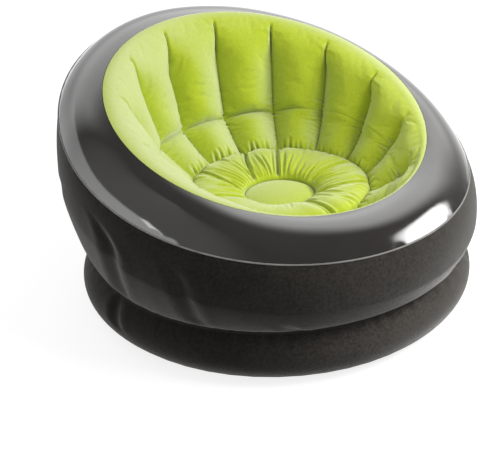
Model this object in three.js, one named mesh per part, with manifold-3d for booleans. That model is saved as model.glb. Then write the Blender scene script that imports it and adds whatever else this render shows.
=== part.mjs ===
// Inflatable lounge chair in millimetres: +Z up, the front faces -Y, and the origin lies on the floor
// under the middle of the chair's box. Welded sheets form one air chamber: a lower ring, a tub wall,
// a glossy rim ring and a channelled bowl, held in shape by inner webs and ties, with a two-way valve.
import * as THREE from "three";
import { mergeVertices } from "three/addons/utils/BufferGeometryUtils.js";
import Module from "manifold-3d";

// Whole chair
const overallWidth = 1118;
const overallDepth = 1092;
const overallHeight = 686;
const sheet = 1.5;
const weldGap = 0.3;
const looseFit = 1;
const cutOverrun = 6;

// Lower ring: a flattened air tube that stands on the floor, a little in front of the box's middle
const ringSetback = 8;
const ringTubeWidth = 178;
const ringTubeHeight = 144;
const waistHeight = 135;
const baseWeldHeight = 18;

// Weld beads
const weldRadius = 2;
const weldClearance = 0.8;

// Outer edge of the rim ring, an ellipse seen from above that rises from the front to the back
const outerSeamHalfWidth = 537;
const outerSeamHalfDepth = 532;
const outerSeamShift = 12.5;
const outerSeamBack = 648.5;
const outerSeamSide = 434;
const outerSeamFront = 309;

// Tub wall: how it swells out from the waist to its widest line and back in to the rim
const wallFlareOut = 30;
const wallFlareUp = 11;
const hipShare = 0.12;
const widestShare = 0.6;
const widestLeanShare = 0.22;
const shoulderShare = 0.6;

// Inner edge of the rim ring, where the green bowl starts
const innerSeamHalfWidth = 436.7;
const innerSeamHalfDepth = 386.8;
const innerSeamShift = -2.7;
const innerSeamSide = 517.4;
const innerSeamFront = 361.3;
const rimCrestRise = 8;
const rimCrownShare = 0.12;

// Bowl: where the channels start, the crease below them, and the foot of the short cushions
const channelCount = 14;
const lipClearance = 1.2;
const lipReachShare = 0.4;
const lipRiseShare = 0.28;
const channelTopHalfWidth = 388;
const channelTopHalfDepth = 372;
const channelTopShift = -3;
const channelTopBack = 638;
const channelTopSide = 493;
const channelTopFront = 335;
const creaseHalfWidth = 339;
const creaseHalfDepth = 331;
const creaseShift = -12;
const creaseBack = 370;
const creaseFront = 305;
const channelPuff = 50;
const cushionPuff = 38;
const seamDraw = 8;
const fullLength = 130;

// How the channels and cushions fill out, as shares of their puff and of their length
const topFullShare = 0.4;
const riseShare = 0.55;
const notchShare = 0.65;
const biteShare = 0.06;
const creaseBackFullShare = 0.6;
const creaseFrontFullShare = 0.92;
const creaseFadeShare = 0.45;
const creaseSharpShare = 0.85;
const cushionRiseShare = 0.3;
const turnShare = 0.3;
const topSquareShare = 0.13;
const acrossPower = 0.75;
const pillowPower = 0.6;
const fallPower = 10;
const footPower = 5;
const rowPower = 1.3;

// Seat: a pleated ring round a domed disc
const seatShift = -38;
const seatRadius = 243;
const seatHeight = 287;
const seatPuff = 28;
const seatSkewPower = 0.8;
const pleatDepth = 3.5;
const discRadius = 96;
const discHeight = 265;
const discDome = 14;

// Inner webs and ties
const webTopWidth = 30;
const webTopDrop = 12;
const webFootInset = 64;
const webDraw = 40;
const airHoleRadius = 22;
const airHoleCount = 4;

// Two-way valve in the back of the tub wall
const valveHeight = 245;
const boreRadius = 24;
const neckWall = 3;
const collarRadius = 36;
const collarThickness = 4;
const flangeRadius = 38;
const flangeThickness = 2;
const flangeSetback = 5;
const neckDepth = 18;
const plugFit = 0.5;
const plugWall = 3;
const plugDepth = 12;
const headRadius = 33;
const headThickness = 3;
const grooveDepth = 1.2;
const airwayRadius = 8;
const capRadius = 13;
const capThickness = 2.6;
const stemDepth = 7;
const stemTaper = 1.6;
const strapWidth = 8;
const strapThickness = 1.2;
const capHinge = 20;
const padLength = 7;
const flapThickness = 1.2;
const tetherReach = 9;

// How finely the forms are divided
const turn = 2 * Math.PI;
const wallSteps = 56;
const wallRows = 7;
const rimRows = 4;
const stepsPerChannel = 6;
const bowlSteps = channelCount * stepsPerChannel;
const bandRows = 2;
const channelRows = 4;
const cushionRows = 5;
const seatRows = 4;
const ringRows = 5;
const baseRows = 2;
const valveSteps = 24;
const searchSteps = 24;
const beadSides = 4;
const holeSides = 12;
const tetherSteps = 12;

const mix = THREE.MathUtils.lerp;
const smooth = THREE.MathUtils.smoothstep;
const wasm = await Module();
wasm.setup();

const chair = new THREE.Group();

// Values that follow from the driving ones
const ringOuter = overallDepth / 2 - ringSetback;
const tubeRadius = ringOuter - ringTubeWidth / 2;
const channelPitch = turn / channelCount;
const firstSeam = Math.PI / 2 + channelPitch / 2;
const weldReach = weldRadius + weldClearance;
const diaphragmTop = waistHeight + sheet / 2;
const diaphragmFoot = waistHeight - sheet / 2;

// Materials
const finish = (color, roughness) => new THREE.MeshStandardMaterial({ color, roughness, metalness: 0 });
const charcoalFlock = () => finish("#3a3733", 0.95);
const glossVinyl = () => finish("#4b4a48", 0.22);
const greenFlock = () => finish("#b4cd50", 0.9);
const plainFilm = () => finish("#57554f", 0.5);
const valvePlastic = () => finish("#2b2b2c", 0.45);

function add(parent, name, geometry, material) {
  const mesh = new THREE.Mesh(geometry, material);
  mesh.name = name;
  parent.add(mesh);
  return mesh;
}

// Booleans

function solidOf(geometry) {
  const plain = new THREE.BufferGeometry();
  plain.setAttribute("position", geometry.getAttribute("position"));
  plain.setIndex(geometry.getIndex());
  const merged = mergeVertices(plain);
  return new wasm.Manifold(
    new wasm.Mesh({
      numProp: 3,
      vertProperties: merged.getAttribute("position").array,
      triVerts: new Uint32Array(merged.getIndex().array),
    }),
  );
}

function geometryOf(solid) {
  const mesh = solid.getMesh();
  const geometry = new THREE.BufferGeometry();
  geometry.setAttribute("position", new THREE.BufferAttribute(new Float32Array(mesh.vertProperties), 3));
  geometry.setIndex(new THREE.BufferAttribute(new Uint32Array(mesh.triVerts), 1));
  geometry.computeVertexNormals();
  return geometry;
}

function cut(geometry, tools) {
  return geometryOf(tools.reduce((solid, tool) => solid.subtract(solidOf(tool)), solidOf(geometry)));
}

// A solid of revolution about +Z from a profile of (radius, height) points, with the solid on its left
function revolved(points, steps) {
  const profile = points.map(([radius, height]) => new THREE.Vector2(radius, height));
  return new THREE.LatheGeometry(profile, steps).rotateX(Math.PI / 2);
}

// An upright round bar or disc about +Z, with its middle at the origin
function roundBar(radius, height, steps) {
  return new THREE.CylinderGeometry(radius, radius, height, steps).rotateX(Math.PI / 2);
}

// Sheets

// A sheet over a grid of points. Its show side is where the columns cross the rows, and shareOut is the
// part of its thickness that stands outside the grid.
function sheetOver(columns, rows, closed, pointAt, shareOut = 0) {
  const count = closed ? columns : columns + 1;
  const lineAt = (i) => Array.from({ length: rows + 1 }, (_, j) => pointAt(i, j));
  const grid = Array.from({ length: count }, (_, i) => lineAt(i));
  const column = (i) => (closed ? (i + count) % count : Math.min(Math.max(i, 0), columns));
  const row = (j) => Math.min(Math.max(j, 0), rows);
  const faceAt = (i, j) => {
    const across = grid[column(i + 1)][j].clone().sub(grid[column(i - 1)][j]);
    const down = grid[i][row(j + 1)].clone().sub(grid[i][row(j - 1)]);
    return across.cross(down).normalize();
  };
  const moved = (i, j, offset) => grid[i][j].clone().addScaledVector(faceAt(i, j), offset);
  const side = (offset) => grid.flatMap((line, i) => line.map((_, j) => moved(i, j, offset)));
  const points = [...side(sheet * shareOut), ...side(-sheet * (1 - shareOut))];
  const outer = (i, j) => column(i) * (rows + 1) + j;
  const inner = (i, j) => count * (rows + 1) + outer(i, j);
  const faces = [];
  const quad = (a, b, c, d) => faces.push(a, b, c, a, c, d);
  for (let i = 0; i < columns; i++) {
    for (let j = 0; j < rows; j++) {
      quad(outer(i, j), outer(i + 1, j), outer(i + 1, j + 1), outer(i, j + 1));
      quad(inner(i, j), inner(i, j + 1), inner(i + 1, j + 1), inner(i + 1, j));
    }
    quad(outer(i + 1, 0), outer(i, 0), inner(i, 0), inner(i + 1, 0));
    quad(outer(i, rows), outer(i + 1, rows), inner(i + 1, rows), inner(i, rows));
  }
  for (let j = 0; j < rows && !closed; j++) {
    quad(outer(0, j), outer(0, j + 1), inner(0, j + 1), inner(0, j));
    quad(outer(columns, j + 1), outer(columns, j), inner(columns, j), inner(columns, j + 1));
  }
  const geometry = new THREE.BufferGeometry().setFromPoints(points);
  geometry.setIndex(faces);
  geometry.computeVertexNormals();
  return geometry;
}

// Closed loops round the tub, given by their height at the back, the sides and the front

function loopOf(halfWidth, halfDepth, shift, back, sides, front) {
  const middle = (back + front) / 4 + sides / 2;
  const rise = (back - front) / 2;
  const saddle = sides - middle;
  return (angle) => {
    const height = middle + rise * Math.sin(angle) + saddle * Math.cos(2 * angle);
    return new THREE.Vector3(halfWidth * Math.cos(angle), shift + halfDepth * Math.sin(angle), height);
  };
}

const levelLoop = (radius, shift, height) => loopOf(radius, radius, shift, height, height, height);

const outerSeam = loopOf(
  outerSeamHalfWidth, outerSeamHalfDepth, outerSeamShift,
  outerSeamBack, outerSeamSide, outerSeamFront,
);
const innerSeam = loopOf(
  innerSeamHalfWidth, innerSeamHalfDepth, innerSeamShift,
  overallHeight - rimCrestRise, innerSeamSide, innerSeamFront,
);
const channelTop = loopOf(
  channelTopHalfWidth, channelTopHalfDepth, channelTopShift,
  channelTopBack, channelTopSide, channelTopFront,
);
const crease = loopOf(creaseHalfWidth, creaseHalfDepth, creaseShift, creaseBack, creaseBack, creaseFront);
const seatEdge = levelLoop(seatRadius, seatShift, seatHeight);
const discEdge = levelLoop(discRadius, seatShift, discHeight);

const wallAngle = (i) => firstSeam + (turn * i) / wallSteps;
const bowlAngle = (i) => firstSeam + (turn * i) / bowlSteps;

// Unit vector square to the line between two points of a section, on the side that shows
function showSide(from, to, angle) {
  const around = new THREE.Vector3(-Math.sin(angle), Math.cos(angle), 0);
  return around.cross(to.clone().sub(from)).normalize();
}

// A curve between two points that stands proud of the straight line by its crown
function archOf(from, to, crown, angle) {
  const handle = from.clone().lerp(to, 1 / 2).addScaledVector(showSide(from, to, angle), 2 * crown);
  return new THREE.QuadraticBezierCurve3(from, handle, to);
}

// The point at a share of a curve's length, once its two ends are trimmed
function pointOn(curve, share, startTrim, endTrim) {
  const length = curve.getLength();
  const distance = mix(startTrim, length - endTrim, share);
  return curve.getPointAt(distance / length);
}

// Lower ring

const halfTube = ringTubeWidth / 2;
const halfHeight = ringTubeHeight / 2;
const tubeAngle = (height) => Math.asin((height - halfHeight) / halfHeight);

// Points of the tube's section between two of its angles, inset by a part of the sheet
function tubeArc(from, to, inset, rows) {
  const points = [];
  for (let k = 0; k <= rows; k++) {
    const a = mix(from, to, k / rows);
    const radius = tubeRadius + (halfTube - inset) * Math.cos(a);
    points.push([radius, halfHeight + (halfHeight - inset) * Math.sin(a)]);
  }
  return points;
}

const baseWeldAngle = tubeAngle(baseWeldHeight);
const weldSlope = Math.hypot(halfTube * Math.sin(baseWeldAngle), halfHeight * Math.cos(baseWeldAngle));
const weldTurn = weldRadius / weldSlope;
const ringTopAngle = tubeAngle(diaphragmFoot - weldGap);
const waistRadius = tubeRadius + halfTube * Math.cos(ringTopAngle);

function buildLowerRing() {
  const ring = new THREE.Group();
  ring.position.y = -ringSetback;
  const low = baseWeldAngle + weldTurn;
  const wall = tubeArc(low, ringTopAngle, 0, ringRows).concat(tubeArc(ringTopAngle, low, sheet, ringRows));
  add(ring, "lower_ring_wall", revolved([...wall, wall[0]], wallSteps), charcoalFlock());
  const bottom = -Math.PI / 2;
  const high = baseWeldAngle - weldTurn;
  const base = tubeArc(bottom, high, 0, baseRows).concat(tubeArc(high, bottom, sheet, baseRows));
  add(ring, "base_panel", revolved([[0, 0], ...base, [0, sheet]], wallSteps), plainFilm());
  const weldCircle = tubeRadius + halfTube * Math.cos(baseWeldAngle);
  const bead = new THREE.TorusGeometry(weldCircle, weldRadius, beadSides, wallSteps);
  add(ring, "base_weld_seam", bead, plainFilm()).position.z = baseWeldHeight;
  chair.add(ring);
}

// Tub wall and rim

const wallFoot = levelLoop(waistRadius, -ringSetback, diaphragmTop + weldGap);

function wallSection(angle) {
  const foot = wallFoot(angle);
  const seam = outerSeam(angle);
  const height = mix(foot.z, seam.z, widestShare + widestLeanShare * Math.sin(angle));
  const widest = levelLoop(overallWidth / 2, 0, height)(angle);
  widest.y *= overallDepth / overallWidth;
  const section = new THREE.CurvePath();
  const flare = widest.clone().sub(foot).setZ(0).setLength(wallFlareOut).add(foot);
  flare.z += wallFlareUp;
  const hip = widest.clone().setZ(mix(widest.z, foot.z, hipShare));
  section.add(new THREE.CubicBezierCurve3(foot, flare, hip, widest));
  const shoulder = widest.clone().setZ(mix(widest.z, seam.z, shoulderShare));
  section.add(new THREE.QuadraticBezierCurve3(widest, shoulder, seam));
  return section;
}

const rimSection = (angle) => {
  const outer = outerSeam(angle);
  const inner = innerSeam(angle);
  return archOf(outer, inner, rimCrownShare * outer.distanceTo(inner), angle);
};

function buildWall() {
  const sections = Array.from({ length: wallSteps }, (_, i) => wallSection(wallAngle(i)));
  const pointAt = (i, j) => pointOn(sections[i], j / wallRows, 0, weldReach);
  const hole = roundBar(neckRadius + looseFit, 2 * flangeSetback + cutOverrun, valveSteps);
  const wall = cut(sheetOver(wallSteps, wallRows, true, pointAt), [hole.applyMatrix4(valveFrame)]);
  add(chair, "upper_wall", wall, charcoalFlock());
}

// The path of a bead, whose steps fall on the same angles as those of the panels beside it
class LoopPath extends THREE.Curve {
  constructor(loop) {
    super();
    this.loop = loop;
  }
  getPoint(share, target = new THREE.Vector3()) {
    return target.copy(this.loop(firstSeam + turn * share));
  }
  getPointAt(share, target) {
    return this.getPoint(share, target);
  }
}

function buildRim() {
  const bead = new THREE.TubeGeometry(new LoopPath(outerSeam), bowlSteps, weldRadius, beadSides, true);
  add(chair, "outer_rim_weld_seam", bead, plainFilm());
  const sections = Array.from({ length: bowlSteps }, (_, i) => rimSection(bowlAngle(i)));
  const pointAt = (i, j) => pointOn(sections[i], j / rimRows, weldReach, weldGap);
  add(chair, "rim_ring_panel", sheetOver(bowlSteps, rimRows, true, pointAt), glossVinyl());
}

// Bowl

// How full a channel is at a step round the bowl: 0 on its seams and 1 in its middle
const across = (i) => Math.sin((Math.PI * (i % stepsPerChannel)) / stepsPerChannel) ** acrossPower;

// How far the two rows of pillows swell at an angle, less where they are short
const swellOf = (puff, from, to) => puff * smooth(from.distanceTo(to), 0, fullLength);
const channelSwell = (angle) => swellOf(channelPuff, channelTop(angle), crease(angle));
const cushionSwell = (angle) => swellOf(cushionPuff, crease(angle), seatEdge(angle));

// How full the channels stay at the crease, which is sharp at the back and fades towards the front
function creaseFull(angle) {
  const sharp = smooth(Math.sin(angle), creaseFadeShare, creaseSharpShare);
  return mix(creaseFrontFullShare, creaseBackFullShare, sharp);
}

// How far a tall channel stands out, as a share of its swell. It fills out below the rim band, its seams
// bite in at once, and it keeps part of its depth at the crease.
function channelFull(i, share) {
  const rise = 1 - (1 - topFullShare) * Math.max(1 - share / riseShare, 0) ** 2;
  const fall = mix(creaseFull(bowlAngle(i)), 1, (1 - share ** fallPower) ** pillowPower);
  const round = across(i) ** mix(topSquareShare, 1, smooth(share, 0, riseShare));
  const bitten = mix(notchShare, 1, smooth(share, 0, biteShare));
  return rise * fall * (1 - bitten + bitten * round);
}

// How far a cushion stands out, as a share of its swell, from the same depth at the crease
function cushionFull(i, share) {
  const angle = bowlAngle(i);
  const start = (creaseFull(angle) * channelSwell(angle)) / cushionSwell(angle);
  const rise = mix(start, 1, smooth(share, 0, cushionRiseShare));
  return rise * (1 - share ** footPower) ** pillowPower * across(i);
}

// How full the seat ring is along its width
const pillow = (share) => (4 * share * (1 - share)) ** pillowPower;

// The ways that the channels, the crease and the cushions puff out
function waysOut(angle) {
  const channel = showSide(channelTop(angle), crease(angle), angle);
  const cushion = showSide(crease(angle), seatEdge(angle), angle);
  return { channel, cushion, shared: channel.clone().add(cushion).normalize() };
}

// Where a channel's rows lie along it, closer together near the crease
const channelShare = (j) => 1 - (1 - j / channelRows) ** rowPower;

const channelSection = (angle) => archOf(channelTop(angle), crease(angle), -seamDraw, angle);
const cushionSection = (angle) => archOf(crease(angle), seatEdge(angle), -seamDraw, angle);

// The smooth band from the rim: it leaves the rim inwards and runs on into the swell of the channels
function bandSection(angle) {
  const rim = innerSeam(angle);
  const top = channelTop(angle);
  const out = waysOut(angle).channel;
  const swell = channelSwell(angle);
  const climb = (2 * swell * (1 - topFullShare)) / riseShare;
  const onward = crease(angle).sub(top).addScaledVector(out, climb);
  const shoulder = top.addScaledVector(out, swell * topFullShare);
  const reach = lipReachShare * rim.distanceTo(shoulder);
  const start = shoulder.clone().sub(rim).setZ(0).setLength(reach).add(rim);
  start.z += lipRiseShare * reach;
  const end = shoulder.clone().sub(onward.setLength(reach));
  return new THREE.CubicBezierCurve3(rim, start, end, shoulder);
}

function backrestPoint(i, j) {
  const angle = bowlAngle(i);
  if (j < bandRows) return pointOn(bandSection(angle), j / bandRows, lipClearance, 0);
  const share = channelShare(j - bandRows);
  const ways = waysOut(angle);
  const way = ways.channel.lerp(ways.shared, smooth(share, 1 - turnShare, 1)).normalize();
  const point = pointOn(channelSection(angle), share, 0, weldClearance);
  return point.addScaledVector(way, channelSwell(angle) * channelFull(i, share));
}

function cushionPoint(i, j) {
  const angle = bowlAngle(i);
  const share = j / cushionRows;
  const ways = waysOut(angle);
  const way = ways.shared.lerp(ways.cushion, smooth(share, 0, turnShare)).normalize();
  const point = pointOn(cushionSection(angle), share, weldGap, weldGap);
  return point.addScaledVector(way, cushionSwell(angle) * cushionFull(i, share));
}

function seatPoint(i, j) {
  const angle = bowlAngle(i);
  const share = j / seatRows;
  const edge = seatEdge(angle);
  const disc = discEdge(angle);
  const pleat = pleatDepth * Math.cos(2 * channelCount * (angle - firstSeam));
  const lift = (seatPuff + pleat) * pillow(share ** seatSkewPower);
  const point = pointOn(new THREE.LineCurve3(edge, disc), share, weldGap, weldGap);
  return point.addScaledVector(showSide(edge, disc, angle), lift);
}

function discGeometry() {
  const edge = discRadius - looseFit;
  const top = [];
  const under = [];
  for (let k = 0; k <= seatRows; k++) {
    const share = k / seatRows;
    const height = discHeight + discDome * (1 - share * share);
    top.push([edge * share, height]);
    under.push([edge * share, height - sheet]);
  }
  return revolved([...under, ...top.reverse()], bowlSteps / 2).translate(0, seatShift, 0);
}

function buildBowl() {
  const backrest = sheetOver(bowlSteps, bandRows + channelRows, true, backrestPoint);
  add(chair, "backrest_liner", backrest, greenFlock());
  add(chair, "lower_liner", sheetOver(bowlSteps, cushionRows, true, cushionPoint), greenFlock());
  add(chair, "seat_ring_panel", sheetOver(bowlSteps, seatRows, true, seatPoint), greenFlock());
  add(chair, "seat_centre_panel", discGeometry(), greenFlock());
}

// Inner sheets

// A round band that stands between the base and a crease of the seat, with holes that let the air through
function tieGeometry(radius, top) {
  const foot = sheet + weldGap;
  const outer = radius + sheet / 2;
  const inner = radius - sheet / 2;
  const profile = [[inner, foot], [outer, foot], [outer, top], [inner, top], [inner, foot]];
  const band = revolved(profile, wallSteps);
  const holes = [];
  for (let k = 0; k < airHoleCount; k++) {
    const drill = roundBar(airHoleRadius, 2 * cutOverrun, holeSides).rotateX(Math.PI / 2);
    drill.translate(0, radius, waistHeight / 2);
    holes.push(drill.rotateZ((turn * (k + 1 / 2)) / airHoleCount));
  }
  return cut(band, holes).translate(0, seatShift, 0);
}

function diaphragmGeometry() {
  const disc = roundBar(waistRadius, sheet, wallSteps).translate(0, -ringSetback, 0);
  const opening = roundBar(seatRadius + sheet / 2 + looseFit, cutOverrun, wallSteps);
  const holes = [opening.translate(0, seatShift, 0)];
  for (let k = 0; k < channelCount; k += 2) {
    const hole = roundBar(airHoleRadius, cutOverrun, holeSides);
    hole.translate((seatRadius + waistRadius) / 2, 0, 0).rotateZ(firstSeam + channelPitch * (k + 1 / 2));
    holes.push(hole.translate(0, -ringSetback, 0));
  }
  return cut(disc, holes).translate(0, 0, waistHeight);
}

// A web behind one seam: its inner edge follows the seam down to the tie, and its outer edge hangs free
function webGeometry(k) {
  const angle = firstSeam + channelPitch * k;
  const back = -(sheet + looseFit);
  const top = channelTop(angle);
  const middle = crease(angle);
  const foot = seatEdge(angle);
  const behindChannel = showSide(top, middle, angle).multiplyScalar(back);
  const behindCushion = showSide(middle, foot, angle).multiplyScalar(back);
  const inner = [];
  for (let j = 0; j <= channelRows; j++) {
    inner.push(pointOn(channelSection(angle), channelShare(j), 0, weldClearance).add(behindChannel));
  }
  for (let j = 1; j <= cushionRows; j++) {
    inner.push(pointOn(cushionSection(angle), j / cushionRows, weldGap, weldGap).add(behindCushion));
  }
  const floor = diaphragmTop + weldGap;
  inner.push(levelLoop(seatRadius + sheet / 2 + looseFit, seatShift, floor)(angle));
  const outFrom = new THREE.Vector3(Math.cos(angle), Math.sin(angle), 0);
  const upper = inner[0].clone().addScaledVector(outFrom, webTopWidth);
  upper.z -= webTopDrop;
  const lower = levelLoop(waistRadius - webFootInset, -ringSetback, floor)(angle);
  const handle = upper.clone().lerp(lower, 1 / 2).addScaledVector(outFrom, -webDraw);
  const freeEdge = new THREE.QuadraticBezierCurve3(upper, handle, lower);
  const last = inner.length - 1;
  const pointAt = (i, j) => (i === 0 ? freeEdge.getPoint(j / last) : inner[j].clone());
  return sheetOver(1, last, false, pointAt, 1 / 2);
}

function buildInside() {
  add(chair, "waist_diaphragm", diaphragmGeometry(), plainFilm());
  add(chair, "seat_outer_tie", tieGeometry(seatRadius, seatHeight - sheet - weldGap), plainFilm());
  add(chair, "seat_inner_tie", tieGeometry(discRadius, discHeight - sheet - weldGap), plainFilm());
  for (let k = 0; k < channelCount; k++) {
    add(chair, "channel_web_" + String(k + 1).padStart(2, "0"), webGeometry(k), plainFilm());
  }
}

// Two-way valve, built along +Z from the outside face of the wall and then turned to stand square to it

function frameOnWall(height) {
  const section = wallSection(Math.PI / 2);
  let low = 0;
  let high = 1;
  for (let k = 0; k < searchSteps; k++) {
    const share = (low + high) / 2;
    if (section.getPoint(share).z < height) low = share;
    else high = share;
  }
  const place = section.getPoint(low);
  const face = showSide(place, section.getPoint(high + 1 / wallSteps), Math.PI / 2);
  const turned = new THREE.Quaternion().setFromUnitVectors(new THREE.Vector3(0, 0, 1), face);
  return new THREE.Matrix4().compose(place, turned, new THREE.Vector3(1, 1, 1));
}

const valveFrame = frameOnWall(valveHeight);
const collarTop = weldGap + collarThickness;
const headFoot = collarTop + weldGap;
const headTop = headFoot + headThickness;
const neckRadius = boreRadius + neckWall;
const skirtRadius = boreRadius - plugFit;

function socketGeometry() {
  const flangeTop = -flangeSetback;
  const flangeFoot = flangeTop - flangeThickness;
  return revolved([
    [boreRadius, -neckDepth], [neckRadius, -neckDepth], [neckRadius, flangeFoot],
    [flangeRadius, flangeFoot], [flangeRadius, flangeTop], [neckRadius, flangeTop],
    [neckRadius, weldGap], [collarRadius, weldGap], [collarRadius, collarTop],
    [boreRadius, collarTop], [boreRadius, -neckDepth],
  ], valveSteps);
}

function plugGeometry() {
  const nozzle = airwayRadius + plugWall;
  const groove = headTop - grooveDepth;
  return revolved([
    [airwayRadius, -plugDepth], [nozzle, -plugDepth], [nozzle, headFoot],
    [skirtRadius - plugWall, headFoot], [skirtRadius - plugWall, -plugDepth], [skirtRadius, -plugDepth],
    [skirtRadius, headFoot], [headRadius, headFoot], [headRadius, headTop],
    [skirtRadius, headTop], [skirtRadius - plugWall / 2, groove], [skirtRadius - plugWall, headTop],
    [airwayRadius, headTop], [airwayRadius, -plugDepth],
  ], valveSteps);
}

// The cap's disc and stem, with the strap that bends at the hinge
function capGeometry() {
  const foot = headTop + weldGap;
  const stemRadius = airwayRadius - plugFit;
  const stemFoot = foot - stemDepth;
  const body = revolved([
    [0, stemFoot], [stemRadius - stemTaper, stemFoot], [stemRadius, foot], [capRadius, foot],
    [capRadius, foot + capThickness], [0, foot + capThickness],
  ], valveSteps);
  const strapLength = capHinge - weldGap - capRadius / 2;
  const strap = new THREE.BoxGeometry(strapWidth, strapLength, strapThickness);
  strap.translate(0, -(capRadius + strapLength) / 2, foot + strapThickness / 2);
  return geometryOf(solidOf(body).add(solidOf(strap)));
}

function padGeometry() {
  const pad = new THREE.BoxGeometry(strapWidth, padLength, strapThickness);
  return pad.translate(0, -(capHinge + padLength / 2), headTop + weldGap + strapThickness / 2);
}

function flapGeometry() {
  const flap = roundBar(airwayRadius + plugWall, flapThickness, valveSteps);
  return flap.translate(0, 0, -plugDepth - weldGap - flapThickness / 2);
}

// A flat strap that loops out from the collar's rim and back in to the rim of the plug's head
function tetherGeometry() {
  const low = new THREE.Vector3(0, collarRadius + weldGap, collarTop - strapThickness);
  const high = new THREE.Vector3(0, headRadius + weldGap, headTop - strapThickness);
  const bend = low.clone().lerp(high, 1 / 2);
  bend.y += 2 * tetherReach;
  const route = new THREE.QuadraticBezierCurve3(low, bend, high);
  const halfWidth = strapWidth / 2;
  const halfThickness = strapThickness / 2;
  const section = new THREE.Shape();
  section.moveTo(-halfWidth, -halfThickness).lineTo(halfWidth, -halfThickness);
  section.lineTo(halfWidth, halfThickness).lineTo(-halfWidth, halfThickness);
  return new THREE.ExtrudeGeometry(section, { steps: tetherSteps, extrudePath: route });
}

function buildValve() {
  const valve = new THREE.Group();
  valve.applyMatrix4(valveFrame);
  add(valve, "valve_socket", socketGeometry(), valvePlastic());
  add(valve, "valve_plug", plugGeometry(), valvePlastic());
  add(valve, "inflation_cap", capGeometry(), valvePlastic());
  add(valve, "cap_hinge_pad", padGeometry(), valvePlastic());
  add(valve, "check_flap", flapGeometry(), valvePlastic());
  add(valve, "plug_tether", tetherGeometry(), valvePlastic());
  chair.add(valve);
}

buildLowerRing();
buildWall();
buildRim();
buildBowl();
buildInside();
buildValve();

export default chair;
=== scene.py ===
"""Looks of an inflatable lounge chair, in metres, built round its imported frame.

A flocked tub wall stands on a lower air ring. A glossy ring closes it on top, and a flocked bowl of
14 tall channels, short cushions, a pleated ring and a smooth disc hangs inside it.
"""

import logging
import math
from contextlib import contextmanager
from dataclasses import dataclass
from enum import Enum
from functools import cache
from typing import Any, Callable, Iterator, Mapping, Sequence

import bpy
import numpy as np
from mathutils import Matrix, Vector


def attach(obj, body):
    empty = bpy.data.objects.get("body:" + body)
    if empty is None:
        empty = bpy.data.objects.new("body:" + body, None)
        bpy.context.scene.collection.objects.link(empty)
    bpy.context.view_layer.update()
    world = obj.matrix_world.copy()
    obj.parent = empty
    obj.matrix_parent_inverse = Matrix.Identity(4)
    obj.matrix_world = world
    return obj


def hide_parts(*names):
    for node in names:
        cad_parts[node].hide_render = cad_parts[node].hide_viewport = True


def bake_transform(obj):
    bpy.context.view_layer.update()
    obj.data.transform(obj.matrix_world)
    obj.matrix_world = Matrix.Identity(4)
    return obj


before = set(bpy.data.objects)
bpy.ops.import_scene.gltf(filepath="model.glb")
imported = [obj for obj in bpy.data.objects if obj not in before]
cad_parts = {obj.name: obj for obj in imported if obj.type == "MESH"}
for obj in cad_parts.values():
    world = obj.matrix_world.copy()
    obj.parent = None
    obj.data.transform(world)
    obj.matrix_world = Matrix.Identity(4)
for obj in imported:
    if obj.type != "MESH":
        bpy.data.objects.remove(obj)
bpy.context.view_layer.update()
LOG = logging.getLogger("chair")

# A full turn, a sheet's thickness in metres, and the angle past which a pillow's edge is sharp, in degrees
TURN = 2 * math.pi
SHEET = 0.0015
SOFT_EDGE = 80.0

# The ways towards the light: surfaces that face them get painted sheen, a paler base colour
BOWL_LIT_WAY = (0.80, -0.25, 0.55)
SEAT_LIT_WAY = (1.15, 0.50, 0.24)
WALL_LIT_WAY = (0.56, -0.78, 0.10)
BACK_LIT_WAY = (0.25, 0.97, 0.0)

# The valve's middle on the tub wall, and the way out of it
VALVE_MIDDLE = (0.0, 0.5167, 0.2449)
VALVE_AXIS = (0.0, 0.9891, -0.1473)


class Slot(Enum):
    """The record's material slots."""

    CHARCOAL = "charcoal_flock"
    GLOSS = "gloss_vinyl"
    GREEN = "green_flock"
    FILM = "plain_film"
    VALVE = "valve_plastic"


# Shader wiring


def math_operator(operation: str, swapped: bool = False) -> Callable[["Wire", Any], "Wire"]:
    """Makes an operator for wires.

    Args:
        operation: The operation of the Math node that it adds.
        swapped: True for a reflected operator, whose wire comes second.

    Returns:
        The operator.
    """

    def operate(wire: "Wire", other: Any) -> "Wire":
        """Joins a wire with a wire or a number."""
        first, second = (other, wire) if swapped else (wire, other)
        return wire.bench.node("ShaderNodeMath", {"operation": operation}, {0: first, 1: second})

    return operate


class Wire:
    """A shader value. Arithmetic on it adds the Math nodes that do it."""

    def __init__(self, bench: "Bench", socket: bpy.types.NodeSocket) -> None:
        """Keeps the bench that the nodes go on and the socket that the value comes from."""
        self.bench = bench
        self.socket = socket

    def __abs__(self) -> "Wire":
        """Drops its sign."""
        return self.bench.node("ShaderNodeMath", {"operation": "ABSOLUTE"}, {0: self})

    __add__ = math_operator("ADD")
    __radd__ = math_operator("ADD", swapped=True)
    __sub__ = math_operator("SUBTRACT")
    __rsub__ = math_operator("SUBTRACT", swapped=True)
    __mul__ = math_operator("MULTIPLY")
    __rmul__ = math_operator("MULTIPLY", swapped=True)
    __truediv__ = math_operator("DIVIDE")
    __pow__ = math_operator("POWER")
    at_most = math_operator("MINIMUM")


Value = Wire | float | Sequence[float]


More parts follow.
